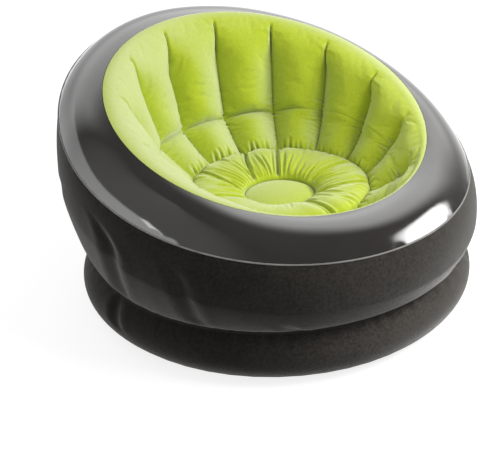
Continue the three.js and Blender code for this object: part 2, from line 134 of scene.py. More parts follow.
class Bench:
    """The node tree of one material or world, with one method that adds its nodes."""

    def __init__(self, owner: bpy.types.Material | bpy.types.World) -> None:
        """Empties the owner's node tree and adds an output.

        Args:
            owner: The material or world.
        """
        owner.use_nodes = True
        self.owner = owner
        self.tree = owner.node_tree
        self.tree.nodes.clear()
        kind = "World" if isinstance(owner, bpy.types.World) else "Material"
        self.output = self.tree.nodes.new(f"ShaderNodeOutput{kind}")

    @classmethod
    def for_material(cls, name: str) -> "Bench":
        """Returns the bench of a new material."""
        return cls(bpy.data.materials.new(name))

    def node(
        self,
        kind: str,
        settings: Mapping[str, Any] | None = None,
        inputs: Mapping[str | int, Value] | None = None,
        result: str | int = 0,
    ) -> Wire:
        """Adds one node.

        Args:
            kind: The node's type.
            settings: Its properties. A ramp's stops are pairs of a place and a colour.
            inputs: The values and wires of its sockets, by name or number.
            result: The output that is returned.

        Returns:
            The chosen output as a wire.
        """
        made = self.tree.nodes.new(kind)
        for key, value in (settings or {}).items():
            if key == "stops":
                self._set_stops(made.color_ramp, value)
            else:
                setattr(made, key, value)
        for key, value in (inputs or {}).items():
            socket = made.inputs[key]
            if isinstance(value, Wire):
                self.tree.links.new(value.socket, socket)
            else:
                socket.default_value = value
        return Wire(self, made.outputs[result])

    @staticmethod
    def _set_stops(ramp: bpy.types.ColorRamp, stops: Sequence[tuple[float, Sequence[float]]]) -> None:
        """Gives a ramp its stops.

        Args:
            ramp: The ramp, which starts with two stops.
            stops: Pairs of a place and a colour.
        """
        while len(ramp.elements) < len(stops):
            ramp.elements.new(1.0)
        for element, (place, colour) in zip(ramp.elements, stops):
            element.position = place
            element.color = (*colour, 1.0)

    def coordinates(self) -> Wire:
        """Returns the object's own coordinates."""
        return self.node("ShaderNodeTexCoord", result="Object")

    def noise(self, place: Wire, scale: float, detail: float = 2.0, roughness: float = 0.5) -> Wire:
        """Returns a noise from 0 to 1. Its scale is its number of cells in a metre."""
        inputs = {"Vector": place, "Scale": scale, "Detail": detail, "Roughness": roughness}
        return self.node("ShaderNodeTexNoise", {"noise_dimensions": "3D"}, inputs, "Fac")

    def ramp(self, value: Wire, stops: Sequence[tuple[float, float]]) -> Wire:
        """Maps a value through straight lines between stops, each a place and a level."""
        greys = [(place, (level, level, level)) for place, level in stops]
        return self.node("ShaderNodeValToRGB", {"stops": greys}, {"Fac": value}, "Color")

    def blend(self, factor: Value, first: Value, second: Value) -> Wire:
        """Mixes two colours or wires, from the first at a factor of 0 to the second at 1."""
        inputs = {0: factor, 6: first, 7: second}
        return self.node("ShaderNodeMix", {"data_type": "RGBA"}, inputs, 2)

    def attribute(self, name: str) -> Wire:
        """Returns the value that the mesh holds under a name at each point."""
        return self.node("ShaderNodeAttribute", {"attribute_name": name}, result="Fac")

    def ray(self, kind: str) -> Wire:
        """Returns 1 for rays of a kind, such as Camera or Glossy, and 0 for others."""
        return self.node("ShaderNodeLightPath", result=f"Is {kind} Ray")

    def bump(self, height: Wire, strength: float, distance: float) -> Wire:
        """Turns a height from 0 to 1 into a normal. The distance is the real height of 1, in metres."""
        inputs = {"Strength": strength, "Distance": distance, "Height": height}
        return self.node("ShaderNodeBump", None, inputs, "Normal")

    def shade(self, inputs: Mapping[str | int, Value]) -> bpy.types.Material:
        """Ends the tree with a Principled shader.

        Args:
            inputs: The shader's values and wires.

        Returns:
            The finished material.
        """
        shader = self.node("ShaderNodeBsdfPrincipled", None, inputs, "BSDF")
        self.tree.links.new(shader.socket, self.output.inputs["Surface"])
        return self.owner

    def step(self, value: Wire, low: float, high: float) -> Wire:
        """Rises smoothly from 0 where the value is low to 1 where it is high."""
        inputs = {"Value": value, "From Min": low, "From Max": high}
        return self.node("ShaderNodeMapRange", {"interpolation_type": "SMOOTHSTEP"}, inputs)


def opaque(colour: Sequence[float]) -> tuple[float, float, float, float]:
    """Returns a colour with an alpha of 1."""
    return (*colour, 1.0)


# Finishes


@dataclass(frozen=True)
class Flock:
    """Short velvety fibres on vinyl: matt and mottled, with painted sheen, a paler colour where a surface faces the
    light.

    Attributes:
        name: The material's name.
        slot: The record's slot that it stands for; not used.
        deep: The colour of fibres that stand up.
        pale: The colour of looser patches.
        patches_and_painted_sheen: The colour of the painted sheen, which stands in for lit fibres.
        weld_and_painted_shading: The colour of a weld line, which is also painted shade where it is darker than the
            fibres and a painted highlight where it is paler.
        sheen: How strong the fibres' sheen is.
        sheen_roughness: How wide the sheen spreads.
        sheen_tint: The sheen's colour.
        speckle: How much the painted sheen varies from spot to spot.
        patches: Brushed patches in a metre.
        fibre: Fibre tufts in a metre.
        pile: The depth of the tufts, in metres.
    """

    name: str
    slot: Slot
    deep: tuple[float, float, float]
    pale: tuple[float, float, float]
    patches_and_painted_sheen: tuple[float, float, float]
    weld_and_painted_shading: tuple[float, float, float]
    sheen: float
    sheen_roughness: float
    sheen_tint: tuple[float, float, float]
    speckle: float = 0.6
    patches: float = 9.0
    fibre: float = 900.0
    pile: float = 0.0006

    def material(self) -> bpy.types.Material:
        """Wires the finish.

        Returns:
            The finish as a new material.
        """
        bench = Bench.for_material(self.name)
        place = bench.coordinates()
        patches_and_painted_sheen = bench.noise(place, self.patches, 4.0, 0.6)
        mottle = bench.noise(place, self.fibre / 6, 3.0, 0.7)
        tuft = bench.noise(place, self.fibre, 2.0, 0.6)
        speck = bench.ramp(mottle, [(0.36, 0.0), (0.64, 1.0)])
        cover = bench.ramp(patches_and_painted_sheen * 0.5 + speck * 0.35 + tuft * 0.15, [(0.32, 0.0), (0.68, 1.0)])
        colour = bench.blend(cover, opaque(self.deep), opaque(self.pale))
        # Painted sheen: the mesh's mark blends in the paler sheen colour where a surface faces the light, in noisy
        # patches
        painted_sheen = bench.attribute("painted_sheen") * (0.5 + patches_and_painted_sheen * 0.4 + speck * self.speckle)
        colour = bench.blend(painted_sheen, colour, opaque(self.patches_and_painted_sheen))
        # Weld lines: darker in the green seams and crease as painted shade, and paler along the charcoal waist as a
        # painted highlight
        colour = bench.blend(bench.attribute("weld_and_painted_shading"), colour, opaque(self.weld_and_painted_shading))
        height = tuft * 0.7 + mottle * 0.3
        return bench.shade({
            "Base Color": colour,
            "Roughness": 0.86 + mottle * 0.12,
            "Sheen Weight": self.sheen,
            "Sheen Roughness": self.sheen_roughness,
            "Sheen Tint": opaque(self.sheen_tint),
            "Specular IOR Level": 0.2,
            "Normal": bench.bump(height, 0.6, self.pile),
        })


@dataclass(frozen=True)
class GlossVinyl:
    """Smooth glossy film: slightly uneven, with faint smears and dust.

    Attributes:
        name: The material's name.
        slot: The record's slot that it stands for; not used.
        colour: The film's colour.
        clouded: Its colour in faint clouds.
        roughness: The roughness of the clean film.
        clouds: Faint clouds in a metre.
        smears: Smears in a metre.
        waves: Waves of the surface in a metre.
        wave_height: Their height in metres.
        grain: Grains in a metre.
    """

    name: str
    slot: Slot
    colour: tuple[float, float, float]
    clouded: tuple[float, float, float]
    roughness: float
    clouds: float = 5.0
    smears: float = 38.0
    waves: float = 22.0
    wave_height: float = 0.0012
    grain: float = 2400.0

    def material(self) -> bpy.types.Material:
        """Wires the finish.

        Returns:
            The finish as a new material.
        """
        bench = Bench.for_material(self.name)
        place = bench.coordinates()
        clouds = bench.noise(place, self.clouds, 3.0, 0.55)
        smears = bench.noise(place, self.smears, 4.0, 0.65)
        grain = bench.noise(place, self.grain, 1.0)
        waves = bench.noise(place, self.waves, 1.0)
        cover = bench.ramp(clouds, [(0.35, 0.0), (0.7, 1.0)])
        colour = bench.blend(cover, opaque(self.colour), opaque(self.clouded))
        return bench.shade({
            "Base Color": colour,
            "Roughness": self.roughness + smears * 0.05,
            "IOR": 1.55,
            "Coat Weight": 0.8,
            "Coat Roughness": 0.03,
            "Normal": bench.bump(waves * 0.9 + grain * 0.02, 0.25, self.wave_height),
        })


@dataclass(frozen=True)
class PlainFilm:
    """Bare vinyl film or a moulded vinyl part, satin with a fine grain.

    Attributes:
        name: The material's name.
        slot: The record's slot that it stands for; not used.
        colour: The colour of the film.
        worn: The colour of its rubbed patches.
        roughness: Its mean roughness.
        clouds: Rubbed patches in a metre.
        grain: Grains in a metre.
        grain_height: Their height in metres.
    """

    name: str
    slot: Slot
    colour: tuple[float, float, float]
    worn: tuple[float, float, float]
    roughness: float
    clouds: float = 30.0
    grain: float = 1600.0
    grain_height: float = 0.0002

    def material(self) -> bpy.types.Material:
        """Wires the finish.

        Returns:
            The finish as a new material.
        """
        bench = Bench.for_material(self.name)
        place = bench.coordinates()
        clouds = bench.noise(place, self.clouds, 3.0, 0.6)
        grain = bench.noise(place, self.grain, 2.0)
        cover = bench.ramp(clouds, [(0.4, 0.0), (0.75, 1.0)])
        colour = bench.blend(cover, opaque(self.colour), opaque(self.worn))
        return bench.shade({
            "Base Color": colour,
            "Roughness": self.roughness + clouds * 0.15,
            "Normal": bench.bump(grain, 0.2, self.grain_height),
        })


CHARCOAL_FLOCK = Flock(
    name="charcoal_flocking",
    slot=Slot.CHARCOAL,
    deep=(0.0050, 0.0040, 0.0026),
    pale=(0.0160, 0.0138, 0.0108),
    # A paler colour for painted sheen, and a pale weld colour that paints a highlight along the waist
    patches_and_painted_sheen=(0.052, 0.048, 0.042),
    weld_and_painted_shading=(0.045, 0.042, 0.037),
    sheen=0.54,
    sheen_roughness=0.36,
    sheen_tint=(0.95, 0.94, 0.92),
    speckle=1.0,
    pile=0.0020,
)
GREEN_FLOCK = Flock(
    name="lime_flocking",
    slot=Slot.GREEN,
    deep=(0.345, 0.430, 0.010),
    pale=(0.395, 0.478, 0.020),
    # A paler colour for painted sheen, and a darker weld colour that paints shade into the seams and the crease
    patches_and_painted_sheen=(0.425, 0.482, 0.200),
    weld_and_painted_shading=(0.26, 0.33, 0.008),
    sheen=0.5,
    sheen_roughness=0.55,
    sheen_tint=(1.0, 1.0, 0.96),
    speckle=0.3,
)
GLOSS_VINYL = GlossVinyl(
    name="glossy_charcoal_vinyl",
    slot=Slot.GLOSS,
    colour=(0.0155, 0.0138, 0.0118),
    clouded=(0.0210, 0.0190, 0.0165),
    roughness=0.07,
)
WELD_FILM = PlainFilm(
    name="weld_bead_film",
    slot=Slot.FILM,
    colour=(0.16, 0.155, 0.145),
    worn=(0.24, 0.235, 0.22),
    roughness=0.35,
)
INNER_FILM = PlainFilm(
    name="plain_charcoal_film",
    slot=Slot.FILM,
    colour=(0.085, 0.083, 0.078),
    worn=(0.11, 0.107, 0.1),
    roughness=0.45,
)
VALVE_VINYL = PlainFilm(
    name="moulded_valve_vinyl",
    slot=Slot.VALVE,
    colour=(0.022, 0.022, 0.023),
    worn=(0.034, 0.034, 0.035),
    roughness=0.38,
)

Finish = Flock | GlossVinyl | PlainFilm


@cache
def material_of(finish: Finish) -> bpy.types.Material:
    """Returns the material of a finish, which is made only once."""
    return finish.material()


# Hand tools


def activate(piece: bpy.types.Object) -> None:
    """Makes a piece the only selected one.

    Args:
        piece: The piece to work on.
    """
    bpy.ops.object.select_all(action="DESELECT")
    piece.select_set(True)
    bpy.context.view_layer.objects.active = piece


@contextmanager
def editing(piece: bpy.types.Object) -> Iterator[None]:
    """Opens a piece in edit mode with all of it selected.

    Args:
        piece: The piece to edit.
    """
    activate(piece)
    bpy.ops.object.mode_set(mode="EDIT")
    bpy.ops.mesh.select_all(action="SELECT")
    yield
    bpy.ops.object.mode_set(mode="OBJECT")


def places_of(piece: bpy.types.Object) -> np.ndarray:
    """Reads the places of a mesh's vertices.

    Args:
        piece: The piece to read.

    Returns:
        The places, one row for each vertex.
    """
    flat = np.empty(3 * len(piece.data.vertices))
    piece.data.vertices.foreach_get("co", flat)
    return flat.reshape(-1, 3)


def place_vertices(piece: bpy.types.Object, places: np.ndarray) -> None:
    """Moves a mesh's vertices to new places, one row for each vertex."""
    piece.data.vertices.foreach_set("co", places.ravel())
    piece.data.update()


def mark(piece: bpy.types.Object, name: str, levels: np.ndarray) -> None:
    """Stores a value at each vertex of a piece, under a name."""
    layer = piece.data.attributes.new(name, "FLOAT", "POINT")
    layer.data.foreach_set("value", levels.astype(np.float32))


def levels_of(piece: bpy.types.Object, name: str) -> np.ndarray:
    """Reads a value that a piece stores at its vertices.

    Args:
        piece: The piece to read.
        name: The value's name.

    Returns:
        The value at each vertex.
    """
    levels = np.empty(len(piece.data.vertices), np.float32)
    piece.data.attributes[name].data.foreach_get("value", levels)
    return levels


def primitive(add: Callable[..., Any], name: str, **settings: Any) -> bpy.types.Object:
    """Adds a primitive, with nothing else selected.

    Args:
        add: The operator that adds it.
        name: The new piece's name.
        **settings: The operator's sizes and counts of steps.

    Returns:
        The new piece.
    """
    bpy.ops.object.select_all(action="DESELECT")
    add(**settings)
    piece = bpy.context.object
    piece.name = piece.data.name = name
    return piece


def wrapped_grid(
    name: str,
    points: np.ndarray,
    marks: Mapping[str, np.ndarray] | None = None,
    closed: bool = True,
) -> bpy.types.Object:
    """Adds a flat grid, wraps it over a form and welds its two ends together.

    Args:
        name: The piece's name.
        points: The form's points, as columns by rows by 3. Columns cross rows on the show side.
        marks: Values to store at each point, as columns by rows.
        closed: True if the last column meets the first.

    Returns:
        The new piece.
    """
    marks = dict(marks or {})
    if closed:
        points = np.concatenate([points, points[:1]])
        marks = {key: np.concatenate([levels, levels[:1]]) for key, levels in marks.items()}
    columns, rows = points.shape[0] - 1, points.shape[1] - 1
    piece = primitive(
        bpy.ops.mesh.primitive_grid_add, name, x_subdivisions=columns, y_subdivisions=rows, size=1
    )
    flat = places_of(piece)
    column = np.rint((flat[:, 0] + 0.5) * columns).astype(int)
    row = np.rint((flat[:, 1] + 0.5) * rows).astype(int)
    place_vertices(piece, points[column, row])
    for key, levels in marks.items():
        mark(piece, key, levels[column, row])
    if closed:
        with editing(piece):
            bpy.ops.mesh.remove_doubles(threshold=1e-6)
    return piece


def apply_modifier(piece: bpy.types.Object, kind: str, **settings: Any) -> None:
    """Adds a modifier to a piece and applies it.

    Args:
        piece: The piece to change.
        kind: The modifier's type.
        **settings: The modifier's properties.
    """
    activate(piece)
    modifier = piece.modifiers.new(kind.title(), kind)
    for key, value in settings.items():
        setattr(modifier, key, value)
    bpy.ops.object.modifier_apply(modifier=modifier.name)


def thicken(piece: bpy.types.Object, thickness: float = SHEET) -> None:
    """Gives a sheet its thickness, in metres, behind its show side."""
    apply_modifier(piece, "SOLIDIFY", thickness=thickness, offset=-1.0)


def pierce(
    piece: bpy.types.Object, middle: Sequence[float], axis: Sequence[float], radius: float, depth: float = 0.03
) -> None:
    """Cuts a round hole through a sheet.

    Args:
        piece: The sheet.
        middle: The hole's middle.
        axis: The way that the hole runs.
        radius: The hole's radius.
        depth: The length of the bar that cuts it.
    """
    turn = Vector(axis).to_track_quat("Z", "Y").to_euler()
    bar = primitive(
        bpy.ops.mesh.primitive_cylinder_add, "cutting_bar",
        vertices=64, radius=radius, depth=depth, location=middle, rotation=turn,
    )
    apply_modifier(piece, "BOOLEAN", operation="DIFFERENCE", solver="EXACT", object=bar)
    bpy.data.objects.remove(bar)


@dataclass(frozen=True)
class Air:
    """How air puffs a sheet out between the lines where it is held.

    Attributes:
        pressure: The air's pressure.
        growth: How much larger the cloth is cut than the space it fills, as a share.
        mass: The cloth's mass at each vertex.
        stretch: How stiff it is against being pulled or pushed.
        shear: How stiff it is against being skewed.
        bending: How stiff it is against being bent.
        frames: How long it is left to settle.
        reach: How far a point may move, in metres.
    """

    pressure: float = 4.0
    growth: float = 0.012
    mass: float = 0.3
    stretch: float = 20.0
    shear: float = 8.0
    bending: float = 0.05
    frames: int = 20
    reach: float = 0.022

    def puff(self, piece: bpy.types.Object) -> None:
        """Puffs a sheet out, apart from the points that its "held" value holds.

        Args:
            piece: The sheet.
        """
        start = places_of(piece)
        group = piece.vertex_groups.new(name="held")
        held = np.round(levels_of(piece, "held"), 1)
        for level in np.unique(held[held > 0]):
            group.add(np.flatnonzero(held == level).tolist(), float(level), "REPLACE")
        cloth = piece.modifiers.new("Cloth", "CLOTH")
        settings = {
            "vertex_group_mass": group.name, "quality": 5, "mass": self.mass,
            "tension_stiffness": self.stretch, "compression_stiffness": self.stretch,
            "shear_stiffness": self.shear, "bending_stiffness": self.bending,
            "use_pressure": True, "uniform_pressure_force": self.pressure, "shrink_min": -self.growth,
        }
        for key, value in settings.items():
            setattr(cloth.settings, key, value)
        cloth.settings.effector_weights.gravity = 0
        cloth.point_cache.frame_start = 1
        cloth.point_cache.frame_end = self.frames
        for moment in range(1, self.frames + 1):
            bpy.context.scene.frame_set(moment)
        activate(piece)
        bpy.ops.object.modifier_apply(modifier=cloth.name)
        bpy.context.scene.frame_set(1)
        piece.vertex_groups.clear()
        moved = places_of(piece) - start
        length = np.linalg.norm(moved, axis=-1, keepdims=True)
        LOG.info("%s: moved %.1f mm at most", piece.name, 1000 * length.max())
        place_vertices(piece, start + moved * np.minimum(1, self.reach / np.maximum(length, 1e-9)))


def smooth(piece: bpy.types.Object, degrees: float = 60.0) -> None:
    """Shades a piece smooth but for the edges that are sharper than an angle."""
    activate(piece)
    bpy.ops.object.shade_smooth_by_angle(angle=math.radians(degrees))


def dress(
    piece: bpy.types.Object, finish: Finish, body: str | None = "chair", replaced: Sequence[str] = ()
) -> None:
    """Gives a new piece its material and its body, and hides the nodes that it stands for.

    Args:
        piece: The piece.
        finish: Its finish.
        body: The body that it moves with, or None to leave it without one.
        replaced: The nodes that it stands for.
    """
    piece.data.materials.clear()
    piece.data.materials.append(material_of(finish))
    if body:
        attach(piece, body)
    if replaced:
        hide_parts(*replaced)


def dress_node(name: str, finish: Finish) -> None:
    """Gives a node of the frame its material.

    Args:
        name: The node's name.
        finish: Its finish.
    """
    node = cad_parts[name]
    node.data.materials.clear()
    node.data.materials.append(material_of(finish))
    LOG.info("%s: %s", name, finish.name)


# Forms


def ease(value: np.ndarray, low: float, high: float) -> np.ndarray:
    """Rises smoothly from 0 at low to 1 at high."""
    share = np.clip((value - low) / (high - low), 0, 1)
    return share * share * (3 - 2 * share)


def unit(vectors: np.ndarray) -> np.ndarray:
    """Returns vectors at a length of 1."""
    return vectors / np.linalg.norm(vectors, axis=-1, keepdims=True)


@dataclass(frozen=True)
class Ripple:
    """A smooth random wave round the chair, the same on each run.

    Attributes:
        seed: The seed of its random draws.
        count: Its mean number of waves round the chair.
        depth: Its height in metres.
        spread: How far its waves differ, as a share.
        parts: How many plain waves it adds up.
    """

    seed: int
    count: int
    depth: float
    spread: float = 0.4
    parts: int = 10

    def at(self, angle: np.ndarray) -> np.ndarray:
        """Works the wave out round the chair.

        Args:
            angle: The angle of each column.

        Returns:
            The wave in metres, one row for each angle.
        """
        draw = np.random.default_rng(self.seed)
        counts = np.rint(self.count * (1 + self.spread * draw.uniform(-1, 1, self.parts)))
        phases = draw.uniform(0, TURN, self.parts)
        waves = np.cos(angle[:, None] * counts + phases).sum(-1) / math.sqrt(self.parts)
        return self.depth * waves[:, None]


@dataclass(frozen=True)
class Loop:
    """A closed line round the chair, an ellipse from above whose height changes round it.

    Attributes:
        half_width: Half its width.
        half_depth: Half its depth.
        shift: How far its middle lies behind the chair's.
        back: Its height at the back.
        sides: Its height at the sides.
        front: Its height at the front.
    """

    half_width: float
    half_depth: float
    shift: float
    back: float
    sides: float
    front: float

    def at(self, angle: np.ndarray) -> np.ndarray:
        """Finds the loop's points.

        Args:
            angle: Angles round the chair, from +X towards the back.

        Returns:
            The loop's points at those angles.
        """
        middle = (self.back + self.front) / 4 + self.sides / 2
        rise = (self.back - self.front) / 2
        saddle = self.sides - middle
        height = middle + rise * np.sin(angle) + saddle * np.cos(2 * angle)
        across = self.half_width * np.cos(angle)
        along = self.shift + self.half_depth * np.sin(angle)
        return np.stack([across, along, height], axis=-1)


def level_loop(radius: float, shift: float, height: float) -> Loop:
    """Returns a level round loop."""
    return Loop(radius, radius, shift, height, height, height)


def show_side(start: np.ndarray, end: np.ndarray, angle: np.ndarray) -> np.ndarray:
    """Returns the unit vectors square to the lines of a section, on the side that shows."""
    around = np.stack([-np.sin(angle), np.cos(angle), np.zeros_like(angle)], axis=-1)
    return unit(np.cross(around, end - start))


def bezier(handles: Sequence[np.ndarray], share: np.ndarray) -> np.ndarray:
    """Returns points on one curve for each column.

    Args:
        handles: The curves' points and handles, each as columns by 3.
        share: Where on the curves, one value for each row.

    Returns:
        The points, as columns by rows by 3.
    """
    degree = len(handles) - 1
    t = share[None, :, None]
    terms = [
        math.comb(degree, k) * t**k * (1 - t) ** (degree - k) * handle[:, None, :]
        for k, handle in enumerate(handles)
    ]
    return sum(terms)


def arch(
    start: np.ndarray, end: np.ndarray, crown: float | np.ndarray, angle: np.ndarray, share: np.ndarray
) -> np.ndarray:
    """Bends curves that stand proud of straight lines.

    Args:
        start: Where each column's line starts.
        end: Where it ends.
        crown: How far its middle stands proud.
        angle: The column's angle.
        share: Where on the curves, one value for each row.

    Returns:
        The points, as columns by rows by 3.
    """
    lift = 2 * np.asarray(crown)
    handle = (start + end) / 2 + show_side(start, end, angle) * lift[..., None]
    return bezier([start, handle, end], share)


def faces_of(points: np.ndarray) -> np.ndarray:
    """Works out which way a closed grid faces.

    Args:
        points: The grid's points.

    Returns:
        The unit normal at each point, on the show side.
    """
    across = np.roll(points, -1, axis=0) - np.roll(points, 1, axis=0)
    down = np.gradient(points, axis=1)
    return unit(np.cross(across, down))


def pushed_out(points: np.ndarray, offset: np.ndarray) -> np.ndarray:
    """Returns the points of a closed grid, each moved out on its show side by its offset."""
    return points + faces_of(points) * offset[..., None]


def painted_sheen_of(
    points: np.ndarray, way: tuple[float, float, float] = BOWL_LIT_WAY, low: float = 0.06, high: float = 0.90
) -> np.ndarray:
    """Returns how much painted sheen a grid gets, from 0 where it faces the lit way by low to 1 by high."""
    return ease(faces_of(points) @ np.array(way), low, high)


def wall_painted_sheen_of(points: np.ndarray) -> np.ndarray:
    """Returns how much painted sheen a wall gets, on its sides that face the front right and the back."""
    return np.maximum(painted_sheen_of(points, WALL_LIT_WAY), 0.7 * painted_sheen_of(points, BACK_LIT_WAY, 0.4))


@dataclass(frozen=True)
class Crease:
    """A soft valley or ridge pressed into a sheet along a curve.

    Attributes:
        path: Three places on the sheet, as shares round it and down it.
        width: Its half width in metres.
        depth: Its depth in metres, negative for a ridge.
        bank: The height of its banks, as a share of the depth.
        fade_in: Where it starts and reaches its depth, as shares before and after its first end.
        fade_out: Where it starts to fade and is gone, as shares before and after its last end.
    """

    path: tuple[tuple[float, float], tuple[float, float], tuple[float, float]]
    width: float
    depth: float
    bank: float = 0.35
    fade_in: tuple[float, float] = (0.03, 0.12)
    fade_out: tuple[float, float] = (0.20, 0.02)

    def press(self, points: np.ndarray) -> np.ndarray:
        """Presses the valley into a closed grid.

        Args:
            points: The grid's points.

        Returns:
            How far each point moves out.
        """
        columns, rows = points.shape[:2]
        down = np.arange(rows) / (rows - 1)
        chart = bezier([np.array([place]) for place in self.path], np.linspace(0, 1, 200))[0]
        chart = chart[np.argsort(chart[:, 1])]
        middle = np.interp(down, chart[:, 1], chart[:, 0])
        first, last = chart[0, 1], chart[-1, 1]
        fade = ease(down, first - self.fade_in[0], first + self.fade_in[1])
        fade = fade * (1 - ease(down, last - self.fade_out[0], last + self.fade_out[1]))
        around = np.arange(columns)[:, None] / columns
        length = TURN * np.hypot(points[..., 0], points[..., 1])
        gap = np.abs(((around - middle + 0.5) % 1 - 0.5) * length) / self.width
        valley = np.exp(-(gap**2))
        banks = self.bank * np.exp(-((gap - 1.8) ** 2))
        return self.depth * fade * (banks - valley)


# The chair's own lines


@dataclass(frozen=True)
class Layout:
    """The loops that all the sheets share.

    Attributes:
        channels: The number of channels in the bowl.
        outer_seam: Where the glossy ring meets the tub wall.
        inner_seam: Where the glossy ring meets the bowl.
        channel_top: Where the channel seams start.
        crease: The seam between the channels and the cushions.
        seat_edge: The outer edge of the seat.
        disc_edge: The edge of the seat's disc.
    """

    channels: int = 14
    outer_seam: Loop = Loop(0.537, 0.532, 0.0125, 0.6485, 0.434, 0.309)
    inner_seam: Loop = Loop(0.4367, 0.3868, -0.0027, 0.678, 0.5174, 0.3613)
    channel_top: Loop = Loop(0.388, 0.372, -0.003, 0.638, 0.493, 0.335)
    crease: Loop = Loop(0.339, 0.331, -0.012, 0.370, 0.370, 0.305)
    seat_edge: Loop = level_loop(0.243, -0.038, 0.287)
    disc_edge: Loop = level_loop(0.096, -0.038, 0.265)

    @property
    def pitch(self) -> float:
        """The angle from one channel seam to the next."""
        return TURN / self.channels

    @property
    def first_seam(self) -> float:
        """The angle of the first channel seam."""
        return math.pi / 2 + self.pitch / 2

    def angles(self, columns: int) -> np.ndarray:
        """Returns evenly spaced angles round the chair, from the first seam."""
        return self.first_seam + TURN * np.arange(columns) / columns

    def in_channel(self, angle: np.ndarray) -> np.ndarray:
        """Returns how far across its channel each angle is, from 0 to 1."""
        return ((angle - self.first_seam) / self.pitch) % 1.0


LAYOUT = Layout()


@dataclass
class LowerRing:
    """The flattened air ring that the chair stands on.

    Attributes:
        setback: How far the ring's middle lies in front of the chair's.
        tube_radius: The radius of the tube's middle line.
        half_width: Half the tube's width.
        half_height: Half the tube's height.
        weld_height: The height of the seam with the base panel.
        waist: The height of the ring's top edge.
        weld_width: The height of the weld line under the waist, which is painted paler as a highlight.
        bead: The radius of the weld bead.
        puckers: The small folds under the waist.
        pucker_start: The height at which they start.
        painted_sheen_share: How strong the painted sheen is, as a share.
        columns: Steps round the ring.
        rows: Steps up the ring.
        creases: The soft folds in the wall.
    """

    setback: float = 0.008
    tube_radius: float = 0.449
    half_width: float = 0.089
    half_height: float = 0.072
    weld_height: float = 0.018
    waist: float = 0.134
    weld_width: float = 0.004
    bead: float = 0.002
    puckers: Ripple = Ripple(5, 95, 0.0008)
    pucker_start: float = 0.105
    painted_sheen_share: float = 0.88
    columns: int = 360
    rows: int = 40
    creases: tuple[Crease, ...] = (
        Crease(((0.215, 0.98), (0.218, 0.7), (0.226, 0.40)), 0.020, 0.006),
        Crease(((0.30, 0.98), (0.305, 0.8), (0.30, 0.55)), 0.018, 0.004),
        Crease(((0.57, 0.98), (0.572, 0.8), (0.58, 0.55)), 0.018, 0.004),
        Crease(((0.73, 0.98), (0.735, 0.78), (0.73, 0.50)), 0.019, 0.005),
        Crease(((0.06, 0.98), (0.055, 0.8), (0.06, 0.55)), 0.019, 0.0045),
    )

    def _tube_angle(self, height: float) -> float:
        """Returns the angle in the tube's section at a height on its outer side."""
        return math.asin((height - self.half_height) / self.half_height)

    def build(self) -> None:
        """Builds the ring's wall."""
        angle = LAYOUT.angles(self.columns)
        low = self._tube_angle(self.weld_height) + self.bead / self.half_height
        section = np.linspace(low, self._tube_angle(self.waist), self.rows)
        radius = self.tube_radius + self.half_width * np.cos(section)
        height = self.half_height * (1 + np.sin(section))
        points = np.stack([
            np.cos(angle)[:, None] * radius,
            np.sin(angle)[:, None] * radius - self.setback,
            np.broadcast_to(height, (self.columns, self.rows)),
        ], axis=-1)
        offset = self.puckers.at(angle) * ease(height, self.pucker_start, self.waist)
        points = pushed_out(points, offset + sum(crease.press(points) for crease in self.creases))
        # A weld line under the waist, painted paler as a highlight, and painted sheen where the wall faces the
        # light
        weld_and_painted_shading = np.broadcast_to(ease(height, self.waist - self.weld_width, self.waist), points.shape[:2])
        marks = {"weld_and_painted_shading": weld_and_painted_shading, "painted_sheen": self.painted_sheen_share * wall_painted_sheen_of(points)}
        wall = wrapped_grid("ring_wall_flocked", points, marks)
        thicken(wall)
        smooth(wall)
        dress(wall, CHARCOAL_FLOCK, replaced=["lower_ring_wall"])


